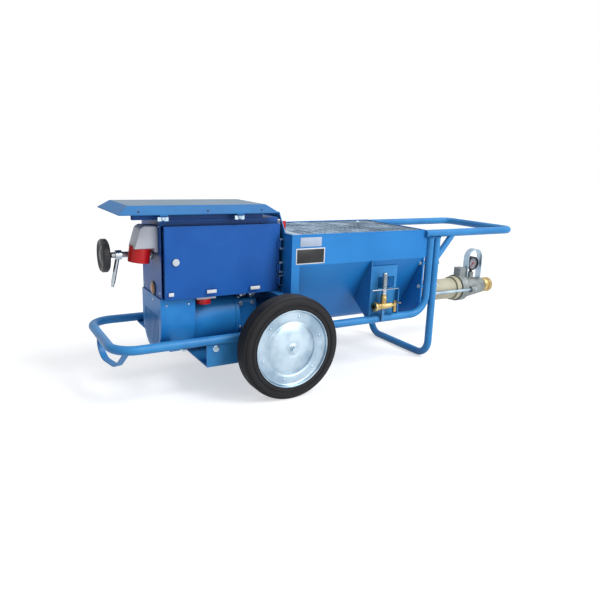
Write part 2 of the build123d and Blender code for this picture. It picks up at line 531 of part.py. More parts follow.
def hopper():
    outer = extruded_x(trough_face(0), HOPPER_X0, HOPPER_X1)
    inner = extruded_x(trough_face(HOPPER_SHEET, -1), HOPPER_X0 + HOPPER_SHEET, HOPPER_X1 - HOPPER_SHEET)
    trough = outer - inner
    inside = HOPPER_HALF - HOPPER_SHEET
    trough += block(HOPPER_X0, HOPPER_X0 + COVER_L, -inside, inside, HOPPER_TOP - HOPPER_SHEET, HOPPER_TOP)
    wall_x = HOPPER_X0 + HOPPER_SHEET
    wall_z = FRAME_Z + TUBE_R
    trough += block(HOPPER_X0, wall_x, -HOPPER_HALF, HOPPER_HALF, wall_z, BAND_Z)
    bent_edge = block(HOPPER_X0, HOPPER_X0 + EDGE_W, inside, HOPPER_HALF, wall_z, BAND_Z)
    corner = block(HOPPER_X1, POST_X, inside, HOPPER_HALF, BAND_Z, POST_TOP)
    corner -= rod_z(0, HANDLE_Z, POST_X, TUBE_Y, TUBE_R)
    for piece in (bent_edge, corner):
        trough += piece
        trough += mirror(piece, about=Plane.XZ)
    splash_z = HOPPER_TOP + SPLASH_H
    splash_face = polygon((-SPLASH_HALF, HOPPER_TOP - 1), (-SPLASH_TOP_HALF, splash_z),
                          (SPLASH_TOP_HALF, splash_z), (SPLASH_HALF, HOPPER_TOP - 1))
    splash = extruded_x(splash_face, HOPPER_X0, wall_x)
    switch_top = SWITCH_Z + SWITCH_HALF_H + 4
    switch_half = SWITCH_HALF_W + 4
    splash -= block(HOPPER_X0 - 1, wall_x + 1, SWITCH_Y - switch_half, SWITCH_Y + switch_half,
                    HOPPER_TOP, switch_top)
    trough += splash
    trough -= rod_x(HOPPER_X0 - 1, HOPPER_X0 + HOPPER_SHEET + 1, 0, DRIVE_Z, 28)
    trough -= rod_x(HOPPER_X1 - HOPPER_SHEET - 1, HOPPER_X1 + 1, 0, DRIVE_Z, INLET_R)
    parts["hopper_trough"] = trough

    plates = []
    for x, top_z in zip(GUSSET_X, (BAND_Z, GUSSET_SHORT_Z)):
        face = polygon((-TUBE_Y - 8, top_z), (-slope_y(top_z), top_z),
                       (-slope_y(GUSSET_LOW_Z), GUSSET_LOW_Z),
                       (-TUBE_Y + 8, FRAME_Z), (-TUBE_Y - 8, FRAME_Z))
        plate = extruded_x(face, x, x + GUSSET_T)
        plates.append(both_sides(plate - rod_x(x - 1, x + GUSSET_T + 1, -TUBE_Y, FRAME_Z, TUBE_R)))
    panel_in = VALVE_PANEL_Y - GUSSET_T
    panel_top = BAND_Z - (HOPPER_HALF - panel_in) / slope_rate()
    panel = block(GUSSET_X[0] + GUSSET_T, GUSSET_X[1], -VALVE_PANEL_Y, -panel_in, FRAME_Z, panel_top)
    panel -= rod_x(GUSSET_X[0], GUSSET_X[1] + 1, -TUBE_Y, FRAME_Z, TUBE_R)
    panel -= block(WATER_X - 10, WATER_X + VALVE_BAR_REACH + 4, -VALVE_PANEL_Y - 1, -panel_in + 1,
                   VALVE_BAR_Z - 5, VALVE_BAR_Z - 5 + VALVE_WINDOW_H)
    plates.append(panel)
    parts["welded_braces"] = group(parts["welded_braces"], *plates)

    top = HOPPER_TOP - GRILLE_DROP
    edge = HOPPER_HALF - HOPPER_SHEET - GRILLE_GAP
    x0 = HOPPER_X0 + COVER_L + GRILLE_DROP
    x1 = HOPPER_X1 - HOPPER_SHEET - GRILLE_DROP
    grille = block(x0, x1, -edge, edge, top - 14, top)
    grille -= block(x0 + BAR, x1 - BAR, -edge + BAR, edge - BAR, top - 20, top + 5)
    for k in range(1, 11):
        y = -edge + 2 * edge * k / 11
        grille += block(x0, x1, y - 2, y + 2, top - 14, top)
    for k in range(1, 12):
        x = x0 + (x1 - x0) * k / 12
        grille += block(x - 2, x + 2, -edge, edge, top - 8, top - 2)
    pin_z = top - 7
    for x in (x0 + 60, x1 - 60):
        grille -= block(x - 16, x + 16, edge - 13, edge + 1, top - 20, top + 5)
        grille += rod_x(x - 18, x + 18, edge - 5, pin_z, 4)
    parts["hopper_grille"] = grille
    eyes = []
    for x in (x0 + 60, x1 - 60):
        eye = block(x - 10, x + 10, edge - 5, HOPPER_HALF - HOPPER_SHEET, pin_z - 7, pin_z + 7)
        eye += rod_x(x - 10, x + 10, edge - 5, pin_z, 7)
        eyes.append(eye - rod_x(x - 20, x + 20, edge - 5, pin_z, 4 + FIT))
    parts["hinge_brackets"] = group(*eyes)

    parts["shaft_seal"] = ring_x(HOPPER_X0 - 12, HOPPER_X0 + HOPPER_SHEET, 0, DRIVE_Z, 28,
                                 AUGER_SHAFT_R + FIT)
    parts["auger_shaft"] = rod_x(GEARBOX_X1 - GEARBOX_WALL - GEAR_W - 10, AUGER_X1 + 2, 0, DRIVE_Z,
                                 AUGER_SHAFT_R)
    parts["auger_shaft"] += rod_x(AUGER_X1 + 2, AUGER_X1 + 12, 0, DRIVE_Z, 30)
    flight_w = AUGER_R - AUGER_SHAFT_R
    flight = Pos(AUGER_SHAFT_R + flight_w / 2 - 0.2, 0) * Rectangle(flight_w, 8)
    turns = (AUGER_X1 - AUGER_X0) / AUGER_PITCH
    screw = twisted_x(flight, AUGER_X0, AUGER_X1, turns)
    parts["auger_screw"] = screw - rod_x(AUGER_X0 - 5, AUGER_X1 + 5, 0, DRIVE_Z, AUGER_SHAFT_R)


# ---- progressive cavity pump --------------------------------------------------------
def outlet_body():
    """Outside of the outlet casting without its bore: flange, shoulder and cone."""
    shoulder_x = STATOR_X1 + OUTLET_FLANGE_T
    return turned_x([(STATOR_X1, 0), (STATOR_X1, OUTLET_FLANGE_R), (shoulder_x, OUTLET_FLANGE_R),
                     (shoulder_x, OUTLET_BODY_R), (TIE_NUT_X, NECK_R), (OUTLET_X, OUTLET_R), (OUTLET_X, 0)])


def pump():
    low = DRIVE_Z - PUMP_FLANGE_R + 8
    outline = polygon((-TUBE_Y, BAND_Z), (-TUBE_Y, FRAME_Z), (-PUMP_FLANGE_R, low),
                      (PUMP_FLANGE_R, low), (TUBE_Y, FRAME_Z), (TUBE_Y, BAND_Z))
    plate = extruded_x(outline, HOPPER_X1, FLANGE_X) - filled_loop()
    plate = plate.solids().sort_by(SortBy.VOLUME)[-1]
    parts["pump_end_plate"] = plate - rod_x(HOPPER_X1 - 1, FLANGE_X + 1, 0, DRIVE_Z, INLET_R)

    rods = [rod_x(HOPPER_X1 + 1, TIE_X1, y, DRIVE_Z, TIE_R) for y in (-TIE_Y, TIE_Y)]
    flange = turned_x([(FLANGE_X, INLET_R), (FLANGE_X, PUMP_FLANGE_R), (FLANGE_X + 14, PUMP_FLANGE_R),
                       (FLANGE_X + 18, STATOR_R + 8), (STATOR_X0 + 12, STATOR_R + 6),
                       (STATOR_X0 + 12, STATOR_R), (STATOR_X0, STATOR_R), (STATOR_X0, INLET_R)])
    shell_in = STATOR_R - STATOR_WALL
    collar_r = TIE_Y - TIE_R - GAP
    parts["stator_shell"] = ring_x(STATOR_X0, STATOR_X1, 0, DRIVE_Z, STATOR_R, shell_in)
    parts["stator_shell"] += ring_x(STATOR_X1 - COLLAR_L, STATOR_X1, 0, DRIVE_Z, collar_r, shell_in)
    cavity_w = 2 * (ROTOR_R + GAP)
    slot = SlotCenterToCenter(4 * ECCENTRICITY, cavity_w)
    rubber = rod_x(STATOR_X0, STATOR_X1, 0, DRIVE_Z, shell_in)
    rubber -= twisted_x(slot, STATOR_X0 - 1, STATOR_X1 + 1, ROTOR_TURNS / 2)
    parts["stator_rubber"] = rubber

    section = Pos(ECCENTRICITY, 0) * Circle(ROTOR_R)
    worm = twisted_x(section, STATOR_X0 - 1, STATOR_X1 + 1, ROTOR_TURNS, ECCENTRICITY)
    head = rod_x(SLEEVE_X, STATOR_X0, ECCENTRICITY, DRIVE_Z, ROTOR_HEAD_R)
    parts["pump_rotor"] = head + worm
    parts["rotor_sleeve"] = ring_x(SLEEVE_X - 3, SLEEVE_X + SLEEVE_L, ECCENTRICITY, DRIVE_Z, SLEEVE_R,
                                   ROTOR_HEAD_R + FIT)

    casting = outlet_body()
    casting += rod_z(DRIVE_Z + 35, GAUGE_Z - GAUGE_R - 12, GAUGE_X, 0, 15)
    casting += block(STATOR_X1 + 10, STATOR_X1 + OUTLET_FLANGE_T + 10, -22, 22, DRIVE_Z + 45, DRIVE_Z + 105)
    for y in (-TIE_Y, TIE_Y):
        casting += rod_x(TIE_NUT_X - EAR_T, TIE_NUT_X, y, DRIVE_Z, EAR_R)
    casting += block(TIE_NUT_X - EAR_T, TIE_NUT_X, -TIE_Y, TIE_Y, DRIVE_Z - EAR_R, DRIVE_Z + EAR_R)
    casting -= turned_x([(STATOR_X1 - 1, 0), (STATOR_X1 - 1, ROTOR_R + 3 * ECCENTRICITY),
                         (OUTLET_X + 1, OUTLET_BORE), (OUTLET_X + 1, 0)])
    for rod in rods:
        casting -= rod
        flange -= rod
        parts["pump_end_plate"] -= rod
    parts["suction_flange"] = flange
    parts["outlet_casting"] = casting
    hexes = [extruded_x(Pos(y, DRIVE_Z) * (RegularPolygon(TIE_NUT_R, 6) - Circle(TIE_R)),
                        TIE_NUT_X, TIE_NUT_X + TIE_NUT_T) for y in (-TIE_Y, TIE_Y)]
    parts["tie_rods"] = group(*rods, *hexes)

    groove_r = COUPLING_R - 7
    coupling = turned_x([(OUTLET_X, OUTLET_BORE), (OUTLET_X, OUTLET_R - 6), (OUTLET_X + 8, OUTLET_R - 6),
                         (OUTLET_X + 11, COUPLING_R), (COUPLING_X1 - 30, COUPLING_R),
                         (COUPLING_X1 - 27, groove_r), (COUPLING_X1 - 20, groove_r),
                         (COUPLING_X1 - 17, COUPLING_R), (COUPLING_X1 - 2, COUPLING_R),
                         (COUPLING_X1, COUPLING_R - 2), (COUPLING_X1, OUTLET_BORE)])
    for side in (-1, 1):
        coupling += block(OUTLET_X + 12, OUTLET_X + 28, side * (COUPLING_R - 3) - 6,
                          side * (COUPLING_R - 3) + 6, DRIVE_Z - 10, DRIVE_Z + 10)
    parts["hose_coupling"] = coupling - rod_x(OUTLET_X - 1, COUPLING_X1 + 1, 0, DRIVE_Z, OUTLET_BORE)


def gauge():
    case = rod_y(-GAUGE_T / 2, GAUGE_T / 2, GAUGE_X, GAUGE_Z, GAUGE_R)
    case -= rod_y(-GAUGE_T / 2 - 1, -GAUGE_T / 2 + 8, GAUGE_X, GAUGE_Z, GAUGE_R - 4)
    case += rod_z(GAUGE_Z - GAUGE_R - 12, GAUGE_Z - GAUGE_R + 2, GAUGE_X, 0, 8)
    case += rod_y(-GAUGE_T / 2 + 4, -GAUGE_T / 2 + 8, GAUGE_X, GAUGE_Z, 2)
    parts["gauge_case"] = case
    needle_y = -GAUGE_T / 2 + 3
    needle = block(GAUGE_X - 1, GAUGE_X + 1, needle_y - 1.5, needle_y, GAUGE_Z - 8, GAUGE_Z + GAUGE_R - 9)
    needle += rod_y(needle_y - 1.5, needle_y, GAUGE_X, GAUGE_Z, 4)
    turn = Axis((GAUGE_X, 0, GAUGE_Z), (0, 1, 0))
    parts["gauge_needle"] = needle.rotate(turn, -135)

    def arch(r, low):
        top = GAUGE_Z + GUARD_RISE
        legs = polygon((GUARD_X - r, low), (GUARD_X + r, low), (GUARD_X + r, top), (GUARD_X - r, top))
        return legs + Pos(GUARD_X, top) * Circle(r)
    guard_face = arch(GUARD_R + GUARD_T, DRIVE_Z) - arch(GUARD_R, DRIVE_Z - 1)
    guard = extruded_y(guard_face, -GUARD_W / 2, GUARD_W / 2)
    parts["gauge_guard"] = guard - outlet_body()


# ---- cabinet ------------------------------------------------------------------------
def cabinet():
    shell = block(CAB_X0, CAB_X1, CAB_FRONT, CAB_HALF, CAB_Z0, CAB_Z1)
    shell -= block(CAB_X0 + SHEET, CAB_X1 - SHEET, CAB_FRONT - 1, CAB_HALF - SHEET,
                   CAB_Z0 + SHEET, CAB_Z1 - SHEET)
    shell += block(CAB_X0 + SHEET, CAB_X1 - SHEET, CAB_FRONT, CAB_FRONT + SHEET,
                   CAB_Z1 - DOOR_TOP_GAP, CAB_Z1 - SHEET)
    shell -= rod_x(CAB_X0 - 1, CAB_X0 + SHEET + 1, 0, HANDWHEEL_Z, SPINDLE_R + FIT)
    parts["cabinet_shell"] = shell

    door_x0 = CAB_X0 + 8
    y0 = CAB_FRONT - DOOR_T
    y1 = CAB_FRONT - GAP
    z1 = CAB_Z1 - DOOR_TOP_GAP
    z0 = CAB_Z0 + GAP
    door = block(door_x0, CAB_X1, y0, y1, z0, z1)
    door -= block(door_x0 + SHEET, CAB_X1 - SHEET, y0 + SHEET, y1 + 1, z0 + SHEET, z1 - SHEET)
    lock_x = door_x0 + LOCK_INSET
    door -= rod_y(y0 - 1, y1 + 1, lock_x, LOCK_Z, 9 + FIT)
    pins = []
    for z in HINGE_Z:
        door += rod_z(z - HINGE_HALF, z + HINGE_HALF, HINGE_X, HINGE_Y, HINGE_R)
        door += block(HINGE_X - 12, HINGE_X, HINGE_Y, y0 + 1, z - HINGE_HALF, z + HINGE_HALF)
        door -= rod_z(z - 20, z + 20, HINGE_X, HINGE_Y, 2.5 + FIT)
        pin = rod_z(z - 22, z + 22, HINGE_X, HINGE_Y, 2.5)
        for end in (z - 22, z + 15):
            pin += block(HINGE_X - 3, HINGE_X + 12, HINGE_Y - 3.5, HINGE_Y + 3.5, end, end + 7)
            pin += block(HINGE_X + 4, HINGE_X + 12, HINGE_Y + 3, CAB_FRONT + 25, end, end + 7)
            pin += block(CAB_X1, HINGE_X + 5, CAB_FRONT + 5, CAB_FRONT + 25, end, end + 7)
        pins.append(pin)
    parts["cabinet_door"] = door
    parts["hinge_brackets"] = group(parts["hinge_brackets"], *pins)
    barrel = rod_y(y0 - 3, y1 + 6, lock_x, LOCK_Z, 9)
    barrel += rod_y(y0 - 5, y0, lock_x, LOCK_Z, LOCK_R)
    barrel += block(lock_x - 32, lock_x + 6, y1 + 6, y1 + 9, LOCK_Z - 8, LOCK_Z + 8)
    parts["door_lock"] = barrel

    back = CAB_HALF - SHEET - 12
    plate = block(CAB_X0 + 30, CAB_X1 - 30, back, back + 3, CAB_Z0 + 30, CAB_Z1 - 30)
    spacers = [rod_y(back + 3, CAB_HALF - SHEET, x, z, 6)
               for x in (CAB_X0 + 45, CAB_X1 - 45) for z in (CAB_Z0 + 45, CAB_Z1 - 45)]
    units = []
    rows = ((CAB_Z0 + 60, (45, 45, 80, 60)), (CAB_Z0 + 170, (18, 18, 54, 45, 70)))
    for row, (z, widths) in enumerate(rows):
        x = CAB_X0 + 60
        for w in widths:
            units.append(block(x, x + w, back - 70 + 15 * row, back, z, z + 75))
            x += w + 6
    base = block(CAB_X1, CAB_X1 + 16, SWITCH_Y - SWITCH_HALF_W, SWITCH_Y + SWITCH_HALF_W,
                 SWITCH_Z - SWITCH_HALF_H, SWITCH_Z + SWITCH_HALF_H)
    parts["switchgear"] = group(plate, *spacers, *units, base)
    knob = rod_x(CAB_X1 + 16 + GAP, CAB_X1 + 38, SWITCH_Y, SWITCH_Z, KNOB_R)
    knob += block(CAB_X1 + 36, CAB_X1 + 54, SWITCH_Y - 5, SWITCH_Y + 5,
                  SWITCH_Z - KNOB_R + 2, SWITCH_Z + KNOB_R - 2)
    parts["main_switch_knob"] = knob

    socket_y = CAB_FRONT + 14
    mouth_z = CAB_Z0 - 24
    outlet = block(SOCKET_X - SOCKET_R - 10, SOCKET_X + SOCKET_R + 14,
                   CAB_FRONT - 14, CAB_FRONT + SOCKET_R + 14, CAB_Z0 - 8, CAB_Z0)
    outlet += rod_z(mouth_z, CAB_Z0 - 8, SOCKET_X, socket_y, SOCKET_R)
    outlet -= rod_z(mouth_z - 1, CAB_Z0 - 6, SOCKET_X, socket_y, SOCKET_R - 5)
    plugs = [rod_z(CAB_Z0 - 12, CAB_Z0, x, CAB_FRONT + 30, 17) for x in PLUG_X]
    hinge_y = socket_y + SOCKET_R + 6
    lid_z0 = mouth_z - GAP - 5
    lid_z1 = mouth_z - GAP
    lid = rod_z(lid_z0, lid_z1, SOCKET_X, socket_y, SOCKET_R + 1)
    lid += block(SOCKET_X - 10, SOCKET_X + 10, socket_y + 15, hinge_y, lid_z0, lid_z1)
    lid += rod_x(SOCKET_X - 10, SOCKET_X + 10, hinge_y, lid_z0 + 3, 3)
    lid -= rod_x(SOCKET_X - 20, SOCKET_X + 20, hinge_y, lid_z0 + 3, 1.5 + FIT)
    ears = rod_x(SOCKET_X - 18, SOCKET_X + 18, hinge_y, lid_z0 + 3, 1.5)
    for x in (SOCKET_X - 18, SOCKET_X + 12):
        ears += block(x, x + 6, hinge_y - 4, hinge_y + 4, lid_z0, CAB_Z0)
    parts["service_sockets"] = group(outlet, ears, *plugs)
    parts["socket_lid"] = lid

    floor_z, crown_z = INLET_BOX_Z
    cover = polygon((CAB_X0, crown_z - 1), (CAB_X0 - 60, crown_z), (CAB_X0 - 77, crown_z - 11),
                    (CAB_X0 - INLET_BOX_L, floor_z), (CAB_X0, floor_z))
    cup_x = CAB_X0 - 54
    cup_half = COLLAR_R - 3
    pocket_z = crown_z - 19
    cover = extruded_y(cover, INLET_Y - COLLAR_R - 5, INLET_Y + COLLAR_R + 5)
    cover -= block(cup_x - 16, CAB_X0 - 6, INLET_Y - cup_half, INLET_Y + cup_half, floor_z - 9, pocket_z)
    axis = Pos(cup_x, INLET_Y, floor_z) * Rot(0, INLET_TILT, 0)
    cup = axis * (Pos(0, 0, -28) * Cylinder(COLLAR_R, 56) - Pos(0, 0, -28) * Cylinder(COLLAR_R - 5, 58))
    cup -= axis * (Pos(0, 0, 10) * Box(200, 200, 20))
    head = block(cup_x - 16, CAB_X0 - 6, INLET_Y - cup_half, INLET_Y + cup_half, pocket_z - 16, pocket_z)
    beyond = block(cup_x - 200, CAB_X0 + 50, -200, 100, pocket_z - 16, pocket_z + 140)
    contacts = []
    for k in range(5):
        a = radians(72 * k)
        contacts.append(axis * (Pos(18 * cos(a), 18 * sin(a), 10) * Cylinder(3.5, 100)) - beyond)
    parts["power_inlet"] = group(cover + cup, head, *contacts)

    parts["indicator_lamp"] = turned_x([(CAB_X0 - 9, 0), (CAB_X0 - 9, 12), (CAB_X0 - 5, 22), (CAB_X0, 24),
                                        (CAB_X0, 0)], LAMP_Z, LAMP_Y)


# ---- roof ---------------------------------------------------------------------------
def roof():
    mid_x = (ROOF_X0 + ROOF_X1) / 2

    def tray(lift, shrink):
        bottom = Plane.XY.offset(ROOF_RIM_Z + lift)
        top = Plane.XY.offset(ROOF_TOP_Z - ROOF_T + lift)
        length = ROOF_X1 - ROOF_X0 - 2 * shrink
        width = 2 * (ROOF_HALF - shrink)
        low = bottom * Pos(mid_x, 0) * Rectangle(length, width)
        high = top * Pos(mid_x, 0) * Rectangle(length - 2 * ROOF_INSET, width - 2 * ROOF_INSET)
        return loft([low, high])
    outside = tray(ROOF_T, 0) + block(ROOF_X0, ROOF_X1, -ROOF_HALF, ROOF_HALF,
                                      ROOF_RIM_Z, ROOF_RIM_Z + ROOF_T)
    inner = ROOF_HALF - ROOF_T
    inside = tray(0, ROOF_T) + block(ROOF_X0 + ROOF_T, ROOF_X1 - ROOF_T, -inner, inner,
                                     ROOF_RIM_Z - 1, ROOF_RIM_Z)
    stud_y = ROOF_HALF - 13
    sheet = outside - inside
    for x in STUD_X:
        for side in (-1, 1):
            edges = sorted((side * (stud_y - 9), side * ROOF_HALF))
            sheet += block(x - 15, x + 15, edges[0], edges[1], ROOF_RIM_Z - 4, ROOF_RIM_Z)
            sheet -= rod_z(ROOF_RIM_Z - 5, ROOF_RIM_Z + 1, x, side * stud_y, 3)
    parts["roof_sheet"] = sheet
    rail_x1 = ROOF_X1 - ROOF_INSET - 6
    under = ROOF_TOP_Z - ROOF_T
    rails = [block(RAIL_X0, rail_x1, y - 10, y + 10, CAB_Z1, under) for y in (-RAIL_Y, RAIL_Y)]
    hollow = [block(RAIL_X0 - 1, rail_x1 + 1, y - 7, y + 7, CAB_Z1 + 3, under - 3)
              for y in (-RAIL_Y, RAIL_Y)]
    bar_z = ROOF_RIM_Z - 8
    plates = []
    studs = []
    for x in STUD_X:
        for side in (-1, 1):
            edges = sorted((side * (RAIL_Y + 10), side * (stud_y + 9)))
            plate = block(x - 10, x + 10, edges[0], edges[1], bar_z, bar_z + 4)
            plates.append(plate - rod_z(bar_z - 1, bar_z + 5, x, side * stud_y, 3))
            nut = rod_z(bar_z - 10, bar_z, x, side * stud_y, 8)
            for wing in (-1, 1):
                nut += block(x + wing * 12 - 7, x + wing * 12 + 7, side * stud_y - 2, side * stud_y + 2,
                             bar_z - 14, bar_z)
            studs.append(nut - rod_z(bar_z - 15, bar_z + 1, x, side * stud_y, 3))
            studs.append(rod_z(bar_z - 12, ROOF_RIM_Z, x, side * stud_y, 3))
    rail_solids = [r - h for r, h in zip(rails, hollow)]
    parts["roof_supports"] = group(*rail_solids, *plates)
    parts["roof_wing_nuts"] = group(*studs)


# ---- handwheel and clamp lever ------------------------------------------------------
def handwheel():
    wheel = turned_x([(HANDWHEEL_X - 14, 0), (HANDWHEEL_X - 14, 18), (HANDWHEEL_X - 6, 40),
                      (HANDWHEEL_X - 14, HANDWHEEL_R - 5), (HANDWHEEL_X - 8, HANDWHEEL_R),
                      (HANDWHEEL_X + 8, HANDWHEEL_R), (HANDWHEEL_X + 13, HANDWHEEL_R - 6),
                      (HANDWHEEL_X + 5, HANDWHEEL_R - 14), (HANDWHEEL_X + 2, 22), (HANDWHEEL_X + 20, 16),
                      (HANDWHEEL_X + 20, SPINDLE_R), (HANDWHEEL_X - 4, SPINDLE_R),
                      (HANDWHEEL_X - 4, 0)], HANDWHEEL_Z)
    sleeve_x = HANDWHEEL_X + 20 + GAP
    inner_end = CAB_X0 + 60
    spindle = rod_x(HANDWHEEL_X - 4, inner_end, 0, HANDWHEEL_Z, SPINDLE_R)
    parts["handwheel"] = group(wheel, spindle)
    bush = rod_x(CLAMP_X - 24, CAB_X0, 0, HANDWHEEL_Z, 11) + rod_x(CAB_X0 - 6, CAB_X0, 0, HANDWHEEL_Z, 22)
    bush -= rod_x(sleeve_x, CAB_X0 + 1, 0, HANDWHEEL_Z, SPINDLE_R + FIT)
    parts["spindle_bush"] = bush
    clamp = rod_x(CLAMP_X - 11, CLAMP_X + 11, 0, HANDWHEEL_Z, 18)
    pivot = Pos(CLAMP_X, 0, HANDWHEEL_Z) * Rot(0, LEVER_TILT, 0)
    clamp += pivot * Pos(0, 0, -LEVER_L / 2 - 8) * Cylinder(LEVER_R, LEVER_L - 12)
    clamp += pivot * Pos(0, 0, -LEVER_L - 6) * Cylinder(LEVER_R - 2, 20)
    parts["clamp_lever"] = clamp - rod_x(CLAMP_X - 60, CLAMP_X + 60, 0, HANDWHEEL_Z, 11 + FIT)


# ---- water fitting ------------------------------------------------------------------
def water():
    x = WATER_X
    body = rod_x(x - 32, x + 50, WATER_Y, WATER_Z, WATER_R)
    body += rod_z(WATER_Z, WATER_Z + 50, x, WATER_Y, WATER_R)
    body += rod_x(x - 10, x + 10, WATER_Y, WATER_Z, WATER_R + 4)
    claw = turned_x([(x - 50, WATER_BORE), (x - 50, 20), (x - 38, 20), (x - 34, WATER_R + 3),
                     (x - 20, WATER_R + 3), (x - 20, WATER_BORE)], WATER_Z, WATER_Y)
    body += claw
    body -= rod_x(x - 51, x + 20, WATER_Y, WATER_Z, WATER_BORE)
    stem_r = 6.0
    body -= rod_z(WATER_Z + 20, WATER_Z + 51, x, WATER_Y, stem_r + FIT)
    post = block(x - 6, x + 6, WATER_Y - 4, WATER_Y + 4, FRAME_Z - 10, WATER_Z - 9.5)
    post += block(x - 6, x + 6, WATER_Y, -TUBE_Y, FRAME_Z - 10, FRAME_Z)
    post -= rod_x(x - 20, x + 20, -TUBE_Y, FRAME_Z, TUBE_R)
    post = post.solids().sort_by(Axis.Y)[0]
    body += post
    cock_x = x + 62
    cock = rod_x(x + 50, cock_x + 8, WATER_Y, WATER_Z, 8)
    cock += rod_z(WATER_Z - 30, WATER_Z + 12, cock_x, WATER_Y, 8)
    cock -= rod_z(WATER_Z - 31, WATER_Z + 6, cock_x, WATER_Y, 4)
    cap_z = WATER_Z + 50 + GAP
    handle = rod_z(WATER_Z + 22, cap_z + 28, x, WATER_Y, stem_r)
    handle += rod_z(cap_z, cap_z + 24, x, WATER_Y, 11)
    handle += block(x - VALVE_BAR_BACK, x + VALVE_BAR_REACH, WATER_Y - 6, WATER_Y + 6,
                    VALVE_BAR_Z, VALVE_BAR_Z + 4)
    handle += rod_z(VALVE_BAR_Z + 4, VALVE_BAR_Z + 70, x, WATER_Y, 12)
    parts["water_valve_handle"] = handle
    parts["water_valve_body"] = group(body, cock)
    lever_z = WATER_Z + 12 + GAP
    lever = rod_z(lever_z, lever_z + 6, cock_x, WATER_Y, 7)
    lever += block(cock_x - 5, cock_x + 5, WATER_Y - 36, WATER_Y, lever_z + 2, lever_z + 5)
    parts["drain_cock_lever"] = lever


def main():
    frame()
    wheels()
    motor()
    hopper()
    pump()
    gauge()
    cabinet()
    roof()
    handwheel()
    water()
    low = min(p.bounding_box().min.X for p in parts.values())
    high = max(p.bounding_box().max.X for p in parts.values())
    shift = Pos(-(low + high) / 2, 0, 0)
    os.makedirs("parts", exist_ok=True)
    for name, part in parts.items():
        moved = [shift * solid for solid in part.solids()]
        export_step(moved[0] if len(moved) == 1 else Compound(children=moved), "parts/" + name + ".step")
    print(len(parts), "parts; shift along X", round(-(low + high) / 2, 4))


main()
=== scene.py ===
import json
from math import cos, pi, radians, sin

import bmesh
import bpy
from mathutils import Matrix, Vector


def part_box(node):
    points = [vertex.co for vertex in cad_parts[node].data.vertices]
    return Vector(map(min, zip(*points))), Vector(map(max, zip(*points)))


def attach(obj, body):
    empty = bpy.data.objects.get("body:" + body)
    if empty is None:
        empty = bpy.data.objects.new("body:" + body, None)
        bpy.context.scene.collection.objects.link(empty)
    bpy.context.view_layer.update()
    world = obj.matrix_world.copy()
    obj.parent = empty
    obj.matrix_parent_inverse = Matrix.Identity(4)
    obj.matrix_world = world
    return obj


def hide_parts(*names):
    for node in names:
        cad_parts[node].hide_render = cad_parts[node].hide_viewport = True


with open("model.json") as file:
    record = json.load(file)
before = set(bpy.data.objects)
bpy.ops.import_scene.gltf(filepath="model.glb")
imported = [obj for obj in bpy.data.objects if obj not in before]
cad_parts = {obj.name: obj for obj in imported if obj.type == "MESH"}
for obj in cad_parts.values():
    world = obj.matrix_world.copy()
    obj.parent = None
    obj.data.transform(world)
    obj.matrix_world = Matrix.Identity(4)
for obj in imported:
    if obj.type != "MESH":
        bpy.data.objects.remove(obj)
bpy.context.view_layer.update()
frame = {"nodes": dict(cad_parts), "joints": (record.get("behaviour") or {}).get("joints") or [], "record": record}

MM = 0.001

# Sizes in millimetres; places are measured from the axle, the centre plane and the ground.
TUBE_R = 16.85                                      # radius of the frame tube
DOOR_LABELS = ((-238, 397, 38, 13), (-58, 397, 40, 13), (-393, 397, 19, 13))    # x, z, width, height
SHELL_SCREW_Z, SHELL_SCREW_Y = (395, 640), 104      # on the cabinet's end wall
SHROUD_SCREW_X, SHROUD_SCREW_Z = (-318, -402), 350
GASKET_W, GASKET_INSET, GASKET_DROP = 6, 6, 12
INLET_MOUTH_Z = 559                                 # where the grey hood meets the red collar
INLET_TILT = radians(8)
CONNECTOR_X = (-88, -46)
ROOF_SCREW_X = (-505, -255, -40)
CRADLE_BOLT_X, CRADLE_BOLT_Z = (-248, -70), 194
STRAP_BOLT_X = -372
END_PLATE_BOLT_Y, END_PLATE_BOLT_Z = 200, (350, 455)
SMALL_PLATE = (100, 197, 558, 594)                  # x0, x1, z0, z1 on the hopper's band
LARGE_PLATE = (82, 214, 489, 552)
PLATE_BORDER = 4
COVER_SCREW_Y = (-180, -60, 60, 180)
RIVET_COUNT, RIVET_CIRCLE, RIVET_START = 6, 124, 0.3
MOTOR_BAND_X = (-291, -114)
GEARBOX_TOP_BOLTS = ((-88, -28), (-50, 125))        # x, y
GEARBOX_SIDE_BOLTS = ((-84, -31), (215, 317))       # x, z
TICKS, TICK_STEP, FIRST_TICK = 28, 10, -135         # gauge dial, degrees
RIDGES = 15                                         # knurling of the valve handle
TEE_BELOW_NECK = 50                                 # tee axis below the top of its neck
HANDLE_GRIP = 70                                    # length of the handle above its cross bar

CAMERA_AT = (-1030.86, -2150.54, 890.12)
CAMERA_YAW, CAMERA_PITCH, CAMERA_ROLL = 0.532, 0.2377, 0.0333
LENS, SENSOR = 34.97, 36.0


# ---- places taken from the frame ----------------------------------------------------
def middle(node):
    low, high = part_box(node)
    return Vector([(a + b) / 2 for a, b in zip(low, high)])


AXLE_X = middle("axle").x


def at(x, y, z):
    """A point given in millimetres from the axle, the centre plane and the ground."""
    return Vector((AXLE_X + x * MM, y * MM, z * MM))


def joint_at(name):
    for joint in frame["joints"]:
        if joint["name"] == name:
            return Vector(joint["pos_m"])
    raise KeyError(name)


def srgb(r, g, b):
    """Linear colour of an sRGB colour given in 0..255."""
    def one(c):
        c /= 255
        return c / 12.92 if c <= 0.04045 else ((c + 0.055) / 1.055) ** 2.4
    return (one(r), one(g), one(b), 1.0)


